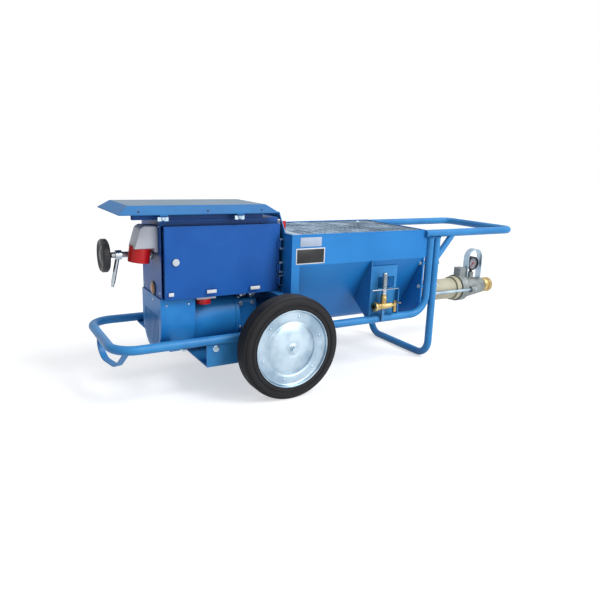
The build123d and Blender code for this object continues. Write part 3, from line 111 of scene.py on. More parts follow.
# ---- materials ----------------------------------------------------------------------
class Nodes:
    """Short names for building a node tree."""

    def __init__(self, mat):
        mat.use_nodes = True
        self.tree = mat.node_tree
        self.shader = self.tree.nodes["Principled BSDF"]

    def add(self, kind, **values):
        node = self.tree.nodes.new(kind)
        for name, value in values.items():
            node.inputs[name.replace("_", " ")].default_value = value
        return node

    def link(self, out, into):
        self.tree.links.new(out, into)

    def span(self, value, low, high, to_low=0.0, to_high=1.0):
        node = self.add("ShaderNodeMapRange", From_Min=low, From_Max=high,
                        To_Min=to_low, To_Max=to_high)
        self.link(value, node.inputs["Value"])
        return node.outputs["Result"]

    def math(self, operation, first, second):
        node = self.tree.nodes.new("ShaderNodeMath")
        node.operation = operation
        self.link(first, node.inputs[0])
        self.link(second, node.inputs[1])
        return node.outputs["Value"]

    def blend(self, factor, first, colour):
        node = self.tree.nodes.new("ShaderNodeMix")
        node.data_type = "RGBA"
        self.link(factor, node.inputs["Factor"])
        self.link(first, node.inputs["A"])
        node.inputs["B"].default_value = colour
        return node.outputs["Result"]


def surface(name, low, high, rough=(0.3, 0.4), metal=0.0, scale=8.0, stretch=(1, 1, 1), bump=0.1,
            grain=400.0, coat=0.0, shine=0.4, wear=None, dust=None, hollow=None, soft=0.0, detail=4.0):
    """Procedural finish: mottled colour, uneven roughness and fine relief; wear is a colour on worn edges, and the
    colour on upward faces stands partly for real dust and partly for painted sheen.

    Its corner argument sets painted shade, how dark the colour gets in narrow corners and under parts; soft the
    rounding of edges in millimetres.
    """
    mat = bpy.data.materials.new(name)
    n = Nodes(mat)
    n.shader.inputs["Metallic"].default_value = metal
    n.shader.inputs["Specular IOR Level"].default_value = shine
    n.shader.inputs["Coat Weight"].default_value = coat
    n.shader.inputs["Coat Roughness"].default_value = 0.15
    mapping = n.add("ShaderNodeMapping", Scale=stretch)
    n.link(n.add("ShaderNodeTexCoord").outputs["Object"], mapping.inputs["Vector"])
    cloud = n.add("ShaderNodeTexNoise", Scale=scale, Detail=detail)
    n.link(mapping.outputs["Vector"], cloud.inputs["Vector"])
    ramp = n.add("ShaderNodeValToRGB")
    for stop, place, colour in zip(ramp.color_ramp.elements, (0.35, 0.65), (low, high)):
        stop.position = place
        stop.color = colour
    n.link(cloud.outputs["Fac"], ramp.inputs["Fac"])
    colour = ramp.outputs["Color"]
    geometry = n.add("ShaderNodeNewGeometry")
    rounded = n.add("ShaderNodeBevel", Radius=max(soft, 1.0) * MM)
    rounded.samples = 4
    if wear:
        corner = n.tree.nodes.new("ShaderNodeVectorMath")
        corner.operation = "DOT_PRODUCT"
        n.link(rounded.outputs["Normal"], corner.inputs[0])
        n.link(geometry.outputs["Normal"], corner.inputs[1])
        near_edge = n.span(corner.outputs["Value"], 0.99, 0.9)
        patches = n.add("ShaderNodeTexNoise", Scale=35.0, Detail=6.0)
        n.link(mapping.outputs["Vector"], patches.inputs["Vector"])
        worn = n.math("MULTIPLY", near_edge, n.span(patches.outputs["Fac"], 0.5, 0.68))
        colour = n.blend(worn, colour, wear)
    # Upward faces take a lighter colour: partly real dust, partly a painted sheen of light on the tops.
    if dust:
        normal = n.add("ShaderNodeSeparateXYZ")
        n.link(geometry.outputs["Normal"], normal.inputs["Vector"])
        topside_mask = n.math("MULTIPLY", n.span(normal.outputs["Z"], 0.8, 0.98),
                         n.span(cloud.outputs["Fac"], 0.2, 0.6, 0.7, 0.9))
        colour = n.blend(topside_mask, colour, dust)
    # Painted shade: the colour darkens where ambient occlusion finds nearby surfaces, in corners, under the roof
    # and between parts.
    if hollow:
        open_sky = n.add("ShaderNodeAmbientOcclusion", Distance=0.12)
        open_sky.samples = 6
        shade = n.tree.nodes.new("ShaderNodeMix")
        shade.data_type = "RGBA"
        shade.blend_type = "MULTIPLY"
        shade.inputs["Factor"].default_value = 1.0
        n.link(colour, shade.inputs["A"])
        n.link(n.span(open_sky.outputs["AO"], 0.25, 0.85, hollow, 1.0), shade.inputs["B"])
        colour = shade.outputs["Result"]
    n.link(colour, n.shader.inputs["Base Color"])
    n.link(n.span(cloud.outputs["Fac"], 0.3, 0.7, *rough), n.shader.inputs["Roughness"])
    speckle = n.add("ShaderNodeTexNoise", Scale=grain, Detail=3.0)
    n.link(mapping.outputs["Vector"], speckle.inputs["Vector"])
    relief = n.add("ShaderNodeBump", Strength=bump, Distance=0.0006)
    n.link(speckle.outputs["Fac"], relief.inputs["Height"])
    if soft:
        n.link(rounded.outputs["Normal"], relief.inputs["Normal"])
    n.link(relief.outputs["Normal"], n.shader.inputs["Normal"])
    return mat


def paint(name, low, high, **more):
    look = dict(rough=(0.34, 0.46), shine=0.3, bump=0.12, grain=260, soft=1.2, wear=srgb(90, 132, 166),
                hollow=0.45)
    look.update(more)
    return surface(name, low, high, **look)


def metal(name, low, high, **more):
    look = dict(rough=(0.28, 0.42), metal=1.0, scale=16, bump=0.12, grain=160, detail=8)
    look.update(more)
    return surface(name, low, high, **look)


def plastic(name, low, high, **more):
    look = dict(rough=(0.32, 0.45), bump=0.12, grain=480, soft=1.0)
    look.update(more)
    return surface(name, low, high, **look)


# The paints darken in their corners as painted shade; frame and cabinet set their own strength.
MAT = {
    "frame_blue": paint("sky_blue_paint", srgb(44, 128, 194), srgb(58, 144, 208), hollow=0.7),
    "hopper_blue": paint("hopper_paint", srgb(30, 126, 202), srgb(40, 138, 214), scale=4, grain=180,
                         soft=1.5),
    "cabinet_blue": paint("cobalt_paint", srgb(22, 88, 170), srgb(30, 96, 180), grain=520, bump=0.18,
                          soft=1.5, shine=0.2, hollow=0.25),
    # The roof's upward faces turn grey: painted sheen of light on the roof top, with some dust.
    "roof_paint": paint("roof_paint", srgb(30, 108, 172), srgb(40, 122, 186), rough=(0.48, 0.62), grain=150,
                        soft=1.5, dust=srgb(120, 138, 148)),
    "motor_blue": paint("motor_paint", srgb(30, 126, 204), srgb(44, 142, 216), bump=0.25, grain=240),
    "zinc": metal("zinc_plate", srgb(142, 164, 182), srgb(188, 206, 218), scale=12),
    "steel": metal("machined_steel", srgb(150, 152, 156), srgb(178, 180, 184), stretch=(1, 12, 12)),
    "gear_steel": metal("gear_steel", srgb(140, 140, 146), srgb(166, 166, 172)),
    "chrome": metal("chrome_plate", srgb(158, 166, 172), srgb(184, 192, 198), rough=(0.12, 0.24),
                    bump=0.05),
    "tyre": surface("tyre_rubber", srgb(20, 20, 23), srgb(32, 32, 36), (0.5, 0.7), scale=20, bump=0.3,
                    grain=600, shine=0.25, dust=srgb(62, 62, 64)),
    "nylon": plastic("nylon", srgb(222, 218, 208), srgb(232, 228, 218)),
    "black_plastic": plastic("black_plastic", srgb(20, 20, 23), srgb(32, 32, 36)),
    "grey_plastic": plastic("grey_plastic", srgb(190, 194, 204), srgb(206, 210, 218), soft=1.5),
    "red_plastic": plastic("red_plastic", srgb(182, 12, 18), srgb(200, 20, 24)),
    "amber_plastic": plastic("amber_plastic", srgb(150, 84, 20), srgb(190, 112, 34), coat=0.4),
    "copper": metal("copper_windings", srgb(176, 98, 60), srgb(200, 118, 74), scale=60, bump=0.4),
    "rubber": surface("black_rubber", srgb(28, 28, 28), srgb(40, 40, 40), (0.6, 0.75), bump=0.3),
    "stator_paint": paint("beige_paint", srgb(188, 182, 156), srgb(204, 198, 174), rough=(0.38, 0.52),
                          scale=12, wear=srgb(160, 154, 140)),
    "casting": surface("grey_casting", srgb(122, 128, 128), srgb(154, 160, 160), (0.42, 0.6), 0.55,
                       scale=26, bump=0.6, grain=220, detail=8, wear=srgb(190, 194, 192), soft=1.5),
    "brass": metal("brass", srgb(158, 134, 84), srgb(204, 182, 130), scale=24),
    "label": plastic("blank_label", srgb(226, 228, 232), srgb(236, 238, 240)),
    "plate": plastic("blank_plate", srgb(176, 190, 212), srgb(196, 208, 226)),
    "dial": plastic("dial_grey", srgb(132, 136, 144), srgb(152, 156, 164)),
    "dark": plastic("dark_marks", srgb(22, 22, 24), srgb(34, 34, 36)),
    "gasket": surface("green_gasket", srgb(40, 62, 54), srgb(56, 80, 70), (0.6, 0.75), bump=0.3),
}


def dress_all():
    """Give every carried-over CAD node its finish and smooth its round faces."""
    for part in frame["record"]["subparts"]:
        mesh = frame["nodes"][part["node"]].data
        mesh.materials.clear()
        mesh.materials.append(MAT[part["material_slot"]])
        mesh.shade_smooth()
        mesh.set_sharp_from_angle(angle=radians(32))


# ---- mesh building ------------------------------------------------------------------
AXES = {"X": (Vector((0, 1, 0)), Vector((0, 0, 1)), Vector((1, 0, 0))),
        "Y": (Vector((0, 0, 1)), Vector((1, 0, 0)), Vector((0, 1, 0))),
        "Z": (Vector((1, 0, 0)), Vector((0, 1, 0)), Vector((0, 0, 1)))}


class Shape:
    """Collects solids in one mesh; places are vectors in metres, sizes are in millimetres."""

    def __init__(self, slot):
        self.mesh = bmesh.new()
        self.slots = []
        self.use(slot)

    def use(self, slot):
        if slot not in self.slots:
            self.slots.append(slot)
        self.slot = self.slots.index(slot)
        return self

    def mark(self, faces):
        for face in faces:
            face.material_index = self.slot
            face.smooth = True
        return self

    def soften(self, verts, bevel):
        self.mark({f for v in verts for f in v.link_faces})
        if bevel:
            edges = list({e for v in verts for e in v.link_edges})
            bmesh.ops.bevel(self.mesh, geom=edges, offset=bevel * MM, segments=2, affect="EDGES",
                            profile=0.5)
        return self

    def lathe(self, profile, centre, axis="Y", sign=1, turns=64, axes=None):
        """Revolve (along, radius) points about an axis through centre, as a closed solid."""
        u, v, w = axes or AXES[axis]
        rings = []
        for along, radius in profile:
            base = centre + w * (sign * along * MM)
            if radius < 1e-6:
                rings.append([self.mesh.verts.new(base)])
                continue
            angles = [2 * pi * k / turns for k in range(turns)]
            rings.append([self.mesh.verts.new(base + (u * cos(a) + v * sin(a)) * (radius * MM))
                          for a in angles])
        faces = []
        pairs = list(zip(rings, rings[1:]))
        if len(rings[0]) > 1 and len(rings[-1]) > 1:
            pairs.append((rings[-1], rings[0]))
        for first, second in pairs:
            if len(first) == 1 and len(second) == 1:
                continue
            for k in range(turns):
                n = (k + 1) % turns
                if len(first) == 1:
                    loop = (first[0], second[k], second[n])
                elif len(second) == 1:
                    loop = (first[k], second[0], first[n])
                else:
                    loop = (first[k], second[k], second[n], first[n])
                faces.append(self.mesh.faces.new(loop))
        return self.mark(faces)

    def tilted(self, profile, start, direction, turns=40):
        """Revolve about any direction."""
        w = direction.normalized()
        u = w.orthogonal().normalized()
        return self.lathe(profile, start, turns=turns, axes=(u, w.cross(u), w))

    def rod(self, start, end, radius, turns=32, chamfer=0.8):
        length = (end - start).length / MM
        c = min(chamfer, radius / 2, length / 3)
        profile = [(0, 0), (0, radius - c), (c, radius), (length - c, radius), (length, radius - c),
                   (length, 0)]
        return self.tilted(profile, start, end - start, turns)

    def box(self, low, high, bevel=1.0, turn=None):
        """A box between two corners with rounded edges; turn is an optional matrix about its centre."""
        verts = bmesh.ops.create_cube(self.mesh, size=1.0)["verts"]
        scale = Matrix.Diagonal((*(high - low), 1))
        place = Matrix.Translation((low + high) / 2) @ (turn or Matrix.Identity(4)) @ scale
        bmesh.ops.transform(self.mesh, matrix=place, verts=verts)
        return self.soften(verts, bevel)

    def prism(self, outline, run, bevel=1.0):
        """Extrude a closed outline of points by a vector, with rounded edges."""
        verts = [self.mesh.verts.new(p) for p in outline]
        made = bmesh.ops.extrude_face_region(self.mesh, geom=[self.mesh.faces.new(verts)])
        top = [e for e in made["geom"] if isinstance(e, bmesh.types.BMVert)]
        bmesh.ops.translate(self.mesh, vec=run, verts=top)
        return self.soften(verts + top, bevel)

    def bolt(self, centre, axis, sign, across=19.0, height=7.0, washer=True):
        """A hexagon head with its washer, standing on centre."""
        r = across / 1.732
        base = 0.0
        if washer:
            base = 1.8
            self.lathe([(-0.5, 0), (-0.5, r * 1.3), (base - 0.3, r * 1.3), (base, r * 1.25), (base, 0)],
                       centre, axis, sign, 32)
        self.lathe([(base - 0.2, 0), (base - 0.2, r), (base + height - 1, r), (base + height, r * 0.87),
                    (base + height, 0)], centre, axis, sign, 6)
        return self

    def screw(self, centre, axis, sign, radius=4.0, height=2.2):
        """A round head with a recess."""
        return self.lathe([(-0.4, 0), (-0.4, radius), (height * 0.5, radius * 0.95), (height, radius * 0.6),
                           (height, radius * 0.28), (height * 0.5, radius * 0.2), (height * 0.5, 0)],
                          centre, axis, sign, 24)

    def bead(self, centre, axis, ring, thick):
        """A weld bead: a slightly uneven ring round a tube."""
        u, v, w = AXES[axis]
        turns, sides = 72, 8
        loops = []
        for k in range(turns):
            a = 2 * pi * k / turns
            r = thick * (1 + 0.18 * sin(17 * a) + 0.1 * sin(29 * a))
            out = u * cos(a) + v * sin(a)
            loop = []
            for j in range(sides):
                b = 2 * pi * j / sides
                spot = centre + out * ((ring + r * cos(b)) * MM) + w * (r * sin(b) * MM)
                loop.append(self.mesh.verts.new(spot))
            loops.append(loop)
        faces = []
        for k in range(turns):
            for j in range(sides):
                m, i = (k + 1) % turns, (j + 1) % sides
                faces.append(self.mesh.faces.new((loops[k][j], loops[m][j], loops[m][i], loops[k][i])))
        return self.mark(faces)

    def build(self, name, body, slot, replaces=(), sharp=32):
        bmesh.ops.recalc_face_normals(self.mesh, faces=self.mesh.faces[:])
        data = bpy.data.meshes.new(name)
        self.mesh.to_mesh(data)
        self.mesh.free()
        for used in self.slots:
            data.materials.append(MAT[used])
        data.set_sharp_from_angle(angle=radians(sharp))
        obj = bpy.data.objects.new(name, data)
        bpy.context.scene.collection.objects.link(obj)
        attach(obj, body)
        if replaces:
            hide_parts(*replaces)
        return obj


# ---- wheels -------------------------------------------------------------------------
def wheel(side, sign):
    """Moulded tyre and pressed disc; the profiles are (distance outboard, radius)."""
    body = side + "_wheel"
    centre = middle(side + "_tyre")
    low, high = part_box(side + "_tyre")
    crown = (high[2] - low[2]) / 2 / MM
    half = (high[1] - low[1]) / 2 / MM
    rim = (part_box(side + "_wheel_disc")[1][2] - centre.z) / MM

    outer = [(half - 5, rim - 1), (half - 2, rim + 2), (half - 1, rim + 8), (half - 1, rim + 14),
             (half - 3.2, rim + 15), (half - 3.2, rim + 17), (half - 0.6, rim + 18.5), (half, rim + 26),
             (half - 1.5, crown - 15), (half - 4, crown - 10.5), (half - 6.5, crown - 10),
             (half - 7, crown - 8), (half - 6, crown - 6.5), (half - 9, crown - 2.5),
             (half - 13, crown - 0.6)]
    for groove in (20, 7):
        outer += [(groove + 2, crown), (groove + 1.4, crown - 4), (groove - 1.4, crown - 4),
                  (groove - 2, crown)]
    tyre = Shape("tyre").lathe(outer + [(-y, r) for y, r in reversed(outer)], centre, "Y", sign, 144)
    tyre.build(side + "_tyre_moulded", body, "tyre", (side + "_tyre",), 28)

    face = [(half - 2, rim - 1), (half - 0.8, rim - 1.5), (half - 0.4, rim - 3), (half - 1.2, rim - 5),
            (half - 6, rim - 6.5), (half - 11, rim - 8), (half - 12.6, rim - 10), (half - 13.4, rim - 12.5),
            (half - 13.5, rim - 16), (half - 13.5, 113), (half - 14.2, 109), (half - 16, 105.5),
            (half - 16.4, 102.5), (half - 15.2, 99), (half - 12.5, 95), (half - 8.8, 84), (half - 5.8, 66),
            (half - 3.8, 48), (half - 3.2, 34), (half - 3, 30), (half - 4, 27), (half - 3.8, 22),
            (half - 2.8, 19), (half - 1.2, 18), (half - 0.5, 17), (half - 0.5, 13)]
    back = [(y - 2.2, r - 0.4) for y, r in reversed(face) if 17.5 < r < rim - 7]
    core = [(0.5 - half, 13), (0.5 - half, 17), (-20, 17)]
    barrel = [(2 - half, rim - 4), (2 - half, rim - 1)]
    disc = Shape("zinc").lathe(face + core + back + barrel, centre, "Y", sign, 144)
    for k in range(RIVET_COUNT):
        a = 2 * pi * k / RIVET_COUNT + RIVET_START
        spot = centre + Vector((cos(a) * RIVET_CIRCLE, sign * (half - 13.6), sin(a) * RIVET_CIRCLE)) * MM
        disc.lathe([(-1, 0), (-1, 5.5), (1.6, 5.0), (2.6, 3.2), (2.8, 0)], spot, "Y", sign, 20)
    disc.build(side + "_disc_pressed", body, "zinc", (side + "_wheel_disc",), 38)


# ---- cabinet and what is on it ------------------------------------------------------
def cabinet_details():
    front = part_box("cabinet_door")[0][1] / MM
    marks = Shape("label")
    for x, z, w, h in DOOR_LABELS:
        marks.box(at(x - w / 2, front - 0.7, z - h / 2), at(x + w / 2, front + 0.3, z + h / 2), 0.2)
    marks.build("door_labels", "door", "grey_plastic")

    lock = joint_at("lock_turn")
    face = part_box("door_lock")[0][1]
    centre = Vector((lock.x, face, lock.z))
    cup = [(1.5, 0), (1.5, 12.4), (0.2, 11.6), (0.2, 8), (1.4, 7.2), (1.4, 0)]
    key = Shape("chrome").lathe(cup, centre, "Y", 1)
    key.use("dark").lathe([(0.9, 0), (0.9, 5.5), (1.6, 5.5), (1.6, 0)], centre, "Y", 1, 32)
    key.use("chrome").box(centre + Vector((-1.6, 0.3, -4.6)) * MM,
                          centre + Vector((1.6, 1.8, 4.6)) * MM, 0.3)
    key.build("door_lock_insert", "door_lock", "chrome")

    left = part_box("cabinet_shell")[0][0]
    lamp = middle("indicator_lamp")
    ring = Shape("dark").lathe([(0, 24), (0, 28), (3, 28), (4.5, 26), (4.5, 23.5)],
                               Vector((left, lamp.y, lamp.z)), "X", -1)
    ring.build("lamp_bezel", "chassis", "black_plastic")
    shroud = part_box("fan_shroud")
    below_lamp = Vector((shroud[0][0], lamp.y - 12 * MM, lamp.z - 40 * MM))
    studs = Shape("zinc").screw(below_lamp, "X", -1, 6.5, 3.5)
    for z in SHELL_SCREW_Z:
        for y in (-SHELL_SCREW_Y, SHELL_SCREW_Y):
            studs.screw(Vector((left, y * MM, z * MM)), "X", -1, 4.0, 2.4)
    for side, y in ((-1, shroud[0][1]), (1, shroud[1][1])):
        for x in SHROUD_SCREW_X:
            studs.screw(Vector((at(x, 0, 0).x, y, SHROUD_SCREW_Z * MM)), "Y", side, 4.5, 2.6)
    studs.build("cabinet_screws", "chassis", "zinc")

    gasket = Shape("dark")
    low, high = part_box("cabinet_door")
    top = high[2] / MM
    rear = high[1] / MM
    x0 = (low[0] - AXLE_X) / MM + GASKET_INSET
    x1 = (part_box("cabinet_shell")[1][0] - AXLE_X) / MM - GASKET_INSET
    bottom, crest = low[2] / MM + GASKET_INSET, top - GASKET_INSET
    for a0, a1, z0, z1 in ((x0, x0 + GASKET_W, bottom, crest), (x1 - GASKET_W, x1, bottom, crest),
                           (x0, x1, top - GASKET_DROP, crest), (x0, x1, bottom, bottom + GASKET_W)):
        gasket.box(at(a0, rear - 2, z0), at(a1, rear - 0.1, z1), 0.6)
    gasket.build("door_gasket", "door", "rubber")


def power_inlet():
    """Tapered grey hood with a red, slanted collar that hangs below it."""
    low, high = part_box("power_inlet")
    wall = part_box("cabinet_shell")[0][0]
    y0, y1 = low[1], high[1]
    top = high[2]
    x0 = low[0]
    hood_low = at(0, 0, INLET_MOUTH_Z).z
    hood = Shape("grey_plastic")
    outline = [Vector((wall, y0, top - 2 * MM)), Vector((wall - 50 * MM, y0, top)),
               Vector((wall - 64 * MM, y0, top - 10 * MM)), Vector((x0 + 14 * MM, y0, hood_low)),
               Vector((wall, y0, hood_low))]
    hood.prism(outline, Vector((0, y1 - y0, 0)), 4.0)
    hood.box(Vector((wall - 12 * MM, y0 + 1 * MM, hood_low - 14 * MM)),
             Vector((wall, y1 - 1 * MM, hood_low + 4 * MM)), 2.0)
    centre = Vector((wall - 54 * MM, (y0 + y1) / 2, hood_low))
    down = Vector((-sin(INLET_TILT), 0, -cos(INLET_TILT)))
    hood.use("red_plastic")
    hood.tilted([(-4, 36.5), (-4, 38.6), (4, 39.2), (46, 39.2), (48, 38.8), (52.5, 38.8), (54, 38), (54, 34),
                 (-2, 33.5)], centre, down, 64)
    hood.use("dark").tilted([(-2, 0), (-2, 34), (6, 34), (6, 0)], centre, down, 48)
    hood.use("brass")
    for a in (2 * pi * k / 5 for k in range(5)):
        side = Vector((cos(a) * 18, sin(a) * 18, 0)) * MM
        hood.tilted([(4, 0), (4, 3.5), (40, 3.5), (42, 2), (42, 0)], centre + side, down, 16)
    hood.build("power_inlet_hood", "chassis", "grey_plastic", ("power_inlet",))


def sockets():
    """Red ring on the service socket and metal rings on the two round connectors."""
    axis = joint_at("socket_lid_swing")
    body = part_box("service_sockets")
    low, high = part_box("socket_lid")
    radius = (high[0] - low[0]) / 2 / MM
    centre = Vector((axis.x, low[1] + radius * MM, body[1][2] - 24 * MM))
    ring = Shape("red_plastic").lathe([(0, radius - 1.5), (0, radius), (1, radius + 0.8), (13, radius + 0.8),
                                       (14, radius), (14, radius - 1.2)], centre, "Z", 1)
    ring.build("socket_ring", "chassis", "red_plastic")
    cap = Shape("red_plastic").lathe([(-5, 0), (-5, radius - 5), (-4, radius - 2), (-4, 0)], centre, "Z", 1)
    cap.build("socket_lid_boss", "socket_lid", "red_plastic")
    rings = Shape("chrome")
    for x in CONNECTOR_X:
        spot = Vector((at(x, 0, 0).x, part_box("cabinet_shell")[0][1] + 30 * MM,
                       body[1][2] - 12 * MM))
        rings.use("chrome").lathe([(-6, 11), (-6, 15), (-5, 16), (4, 16.6), (4, 11)], spot, "Z", 1, 40)
        rings.use("dark").lathe([(-4, 0), (-4, 11.2), (0, 11.2), (0, 0)], spot, "Z", 1, 32)
    rings.build("round_connector_rings", "chassis", "chrome")


def roof_details():
    low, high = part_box("roof_sheet")
    rim, top = low[2] + 4 * MM, high[2]
    run = 38 * MM
    rise = top - rim - 3 * MM
    studs = Shape("dark")
    slope = Vector((0, -rise, run)).normalized()
    for x in ROOF_SCREW_X:
        spot = Vector((at(x, 0, 0).x, low[1] + 0.3 * run, rim + 3 * MM + 0.3 * rise))
        studs.tilted([(-0.5, 0), (-0.5, 4.2), (1.2, 3.8), (1.8, 2.4), (1.8, 0)], spot, slope, 20)
    studs.build("roof_screws", "chassis", "steel")
    hem = Shape("roof_paint")
    for y in (low[1], high[1]):
        inward = 3.2 * MM if y < 0 else -3.2 * MM
        hem.rod(Vector((low[0] + 2 * MM, y + inward / 2, rim + 1.6 * MM)),
                Vector((high[0] - 2 * MM, y + inward / 2, rim + 1.6 * MM)), 1.6, 16)
    hem.build("roof_hem", "chassis", "roof_paint")


# ---- frame and hopper ---------------------------------------------------------------
def frame_details():
    low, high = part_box("frame_loop")
    tube_y = high[1] - TUBE_R * MM
    post_top = high[2]
    post_x = high[0] - TUBE_R * MM
    leg_x = middle("front_leg").x
    welds = Shape("frame_blue")
    for y in (-tube_y, tube_y):
        for x in (post_x, leg_x):
            welds.bead(Vector((x, y, post_top - 1 * MM)), "Z", TUBE_R + 0.05, 2.4)
    welds.build("weld_beads", "chassis", "frame_blue")

    bolts = Shape("zinc")
    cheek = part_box("axle_cradle")
    for side, y in ((-1, cheek[0][1]), (1, cheek[1][1])):
        for x in CRADLE_BOLT_X:
            bolts.bolt(Vector((at(x, 0, 0).x, y, CRADLE_BOLT_Z * MM)), "Y", side, 17, 8)
        bolts.bolt(Vector((at(STRAP_BOLT_X, 0, 0).x, side * tube_y, low[2] + 0.4 * MM)), "Z", -1, 15, 7)
    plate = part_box("pump_end_plate")
    for side in (-1, 1):
        for z in END_PLATE_BOLT_Z:
            bolts.bolt(Vector((plate[0][0], side * END_PLATE_BOLT_Y * MM, z * MM)), "X", -1, 15, 7)
            bolts.bolt(Vector((leg_x + 16.5 * MM, side * tube_y, z * MM)), "X", 1, 13, 6)
    bolts.build("frame_bolts", "chassis", "zinc")


def hopper_details():
    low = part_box("hopper_trough")[0]
    face = low[1] / MM
    x0, x1 = (low[0] - AXLE_X) / MM, (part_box("pump_end_plate")[0][0] - AXLE_X) / MM
    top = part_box("hopper_grille")[1][2] / MM + 3
    a, b, z0, z1 = SMALL_PLATE
    plates = Shape("plate").box(at(a, face - 0.9, z0), at(b, face + 0.3, z1), 0.4)
    a, b, z0, z1 = LARGE_PLATE
    plates.use("label").box(at(a, face - 0.9, z0), at(b, face + 0.3, z1), 0.4)
    plates.use("dark").box(at(a + PLATE_BORDER, face - 1.2, z0 + PLATE_BORDER),
                           at(b - PLATE_BORDER, face - 0.2, z1 - PLATE_BORDER), 0.3)
    plates.build("hopper_plates", "chassis", "zinc")

    rim = Shape("hopper_blue")
    for y in (face + 1.5, -face - 1.5):
        rim.rod(at(x0 + 1, y, top - 1.2), at(x1 - 1, y, top - 1.2), 2.6, 16)
    for x in (x0 + 1.5, x1 - 1.5):
        rim.rod(at(x, face + 1.5, top - 1.2), at(x, -face - 1.5, top - 1.2), 2.6, 16)
    rim.build("hopper_rim", "chassis", "hopper_blue")

    cover = Shape("zinc").box(at(x0 + 5, face + 6, top - 0.6), at(x0 + 43, -face - 6, top + 1.2), 0.6)
    for y in COVER_SCREW_Y:
        cover.screw(at(x0 + 14, y, top + 1.2), "Z", 1, 4.0, 2.2)
    cover.build("hopper_cover", "chassis", "zinc")


# ---- pump ---------------------------------------------------------------------------
def pump_details():
    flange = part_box("outlet_casting")
    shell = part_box("stator_shell")
    axis = middle("stator_shell")
    joint = Vector((shell[1][0], axis.y, axis.z))
    radius = (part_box("tie_rods")[1][1] / MM) - 14.5
    seal = Shape("gasket").lathe([(-1.6, 50), (-1.6, radius - 3), (-1, radius - 2), (1, radius - 2),
                                  (1.6, radius - 3), (1.6, 50)], joint, "X", 1, 96)
    seal.build("outlet_gasket", "chassis", "rubber")
    rims = Shape("casting").bead(Vector((flange[0][0] + 39 * MM, axis.y, axis.z)), "X", 66.5, 1.4)
    rims.build("flange_rounding", "chassis", "casting")

    low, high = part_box("hose_coupling")
    start = Vector((low[0], axis.y, axis.z))
    end = (high[0] - low[0]) / MM
    bore, big = 22.0, (high[2] - low[2]) / 2 / MM
    profile = [(0, bore), (0, 33), (7, 33), (8, 36), (10, big - 0.5), (27, big), (29, big - 2),
               (31, big - 6), (38, big - 6), (40, big - 2), (42, big), (45, big), (46, big - 1),
               (49, big - 1), (50, big), (end - 4, big), (end - 1, big - 1.5), (end, big - 4),
               (end, 29), (end - 6, 27), (end - 6, bore)]
    brass = Shape("brass").lathe(profile, start, "X", 1, 80)
    for k in range(3):
        a = radians(120 * k + 90)
        turn = Matrix.Rotation(a, 4, "X")
        middle_of_lug = start + turn @ (Vector((20, big - 3, 0)) * MM)
        half = Vector((7, 2.6, 9)) * MM
        brass.box(middle_of_lug - half, middle_of_lug + half, 1.6, turn)
    seal_ring = [(end - 6, bore), (end - 6, 27), (end - 1, 27), (end - 1, bore)]
    brass.use("rubber").lathe(seal_ring, start, "X", 1, 64)
    brass.build("hose_coupling_turned", "chassis", "brass", ("hose_coupling",))


def gauge_details():
    low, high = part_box("gauge_case")
    hub = joint_at("gauge_needle_turn")
    centre = Vector((hub.x, low[1], hub.z))
    radius = (high[0] - low[0]) / 2 / MM
    plate = [(6.8, 0), (6.8, radius - 4.4), (7.8, radius - 4.4), (7.8, 0)]
    dial = Shape("dial").lathe(plate, centre, "Y", 1, 64)
    dial.use("dark")
    for k in range(TICKS):
        turn = Matrix.Rotation(radians(FIRST_TICK + TICK_STEP * k), 4, "Y")
        inner, width = (22.5, 0.8) if k % 3 == 0 else (25.5, 0.45)
        spot = centre + turn @ (Vector((0, 6.6, (inner + 29) / 2)) * MM)
        size = Vector((width, 0.3, (29 - inner) / 2)) * MM
        dial.box(spot - size, spot + size, 0, turn)
    dial.build("gauge_dial", "chassis", "black_plastic")
    ring = Shape("black_plastic").lathe([(0.8, radius - 5), (-0.6, radius - 4), (-1.4, radius - 2.5),
                                         (-1.2, radius - 0.8), (0, radius), (1, radius), (1, radius - 5)],
                                        centre, "Y", 1, 72)
    depth = (high[1] - low[1]) / MM
    ring.lathe([(depth - 3, radius - 2), (depth, radius - 6), (depth, 0), (depth - 3, 0)],
               centre, "Y", 1, 72)
    ring.build("gauge_bezel", "chassis", "black_plastic")


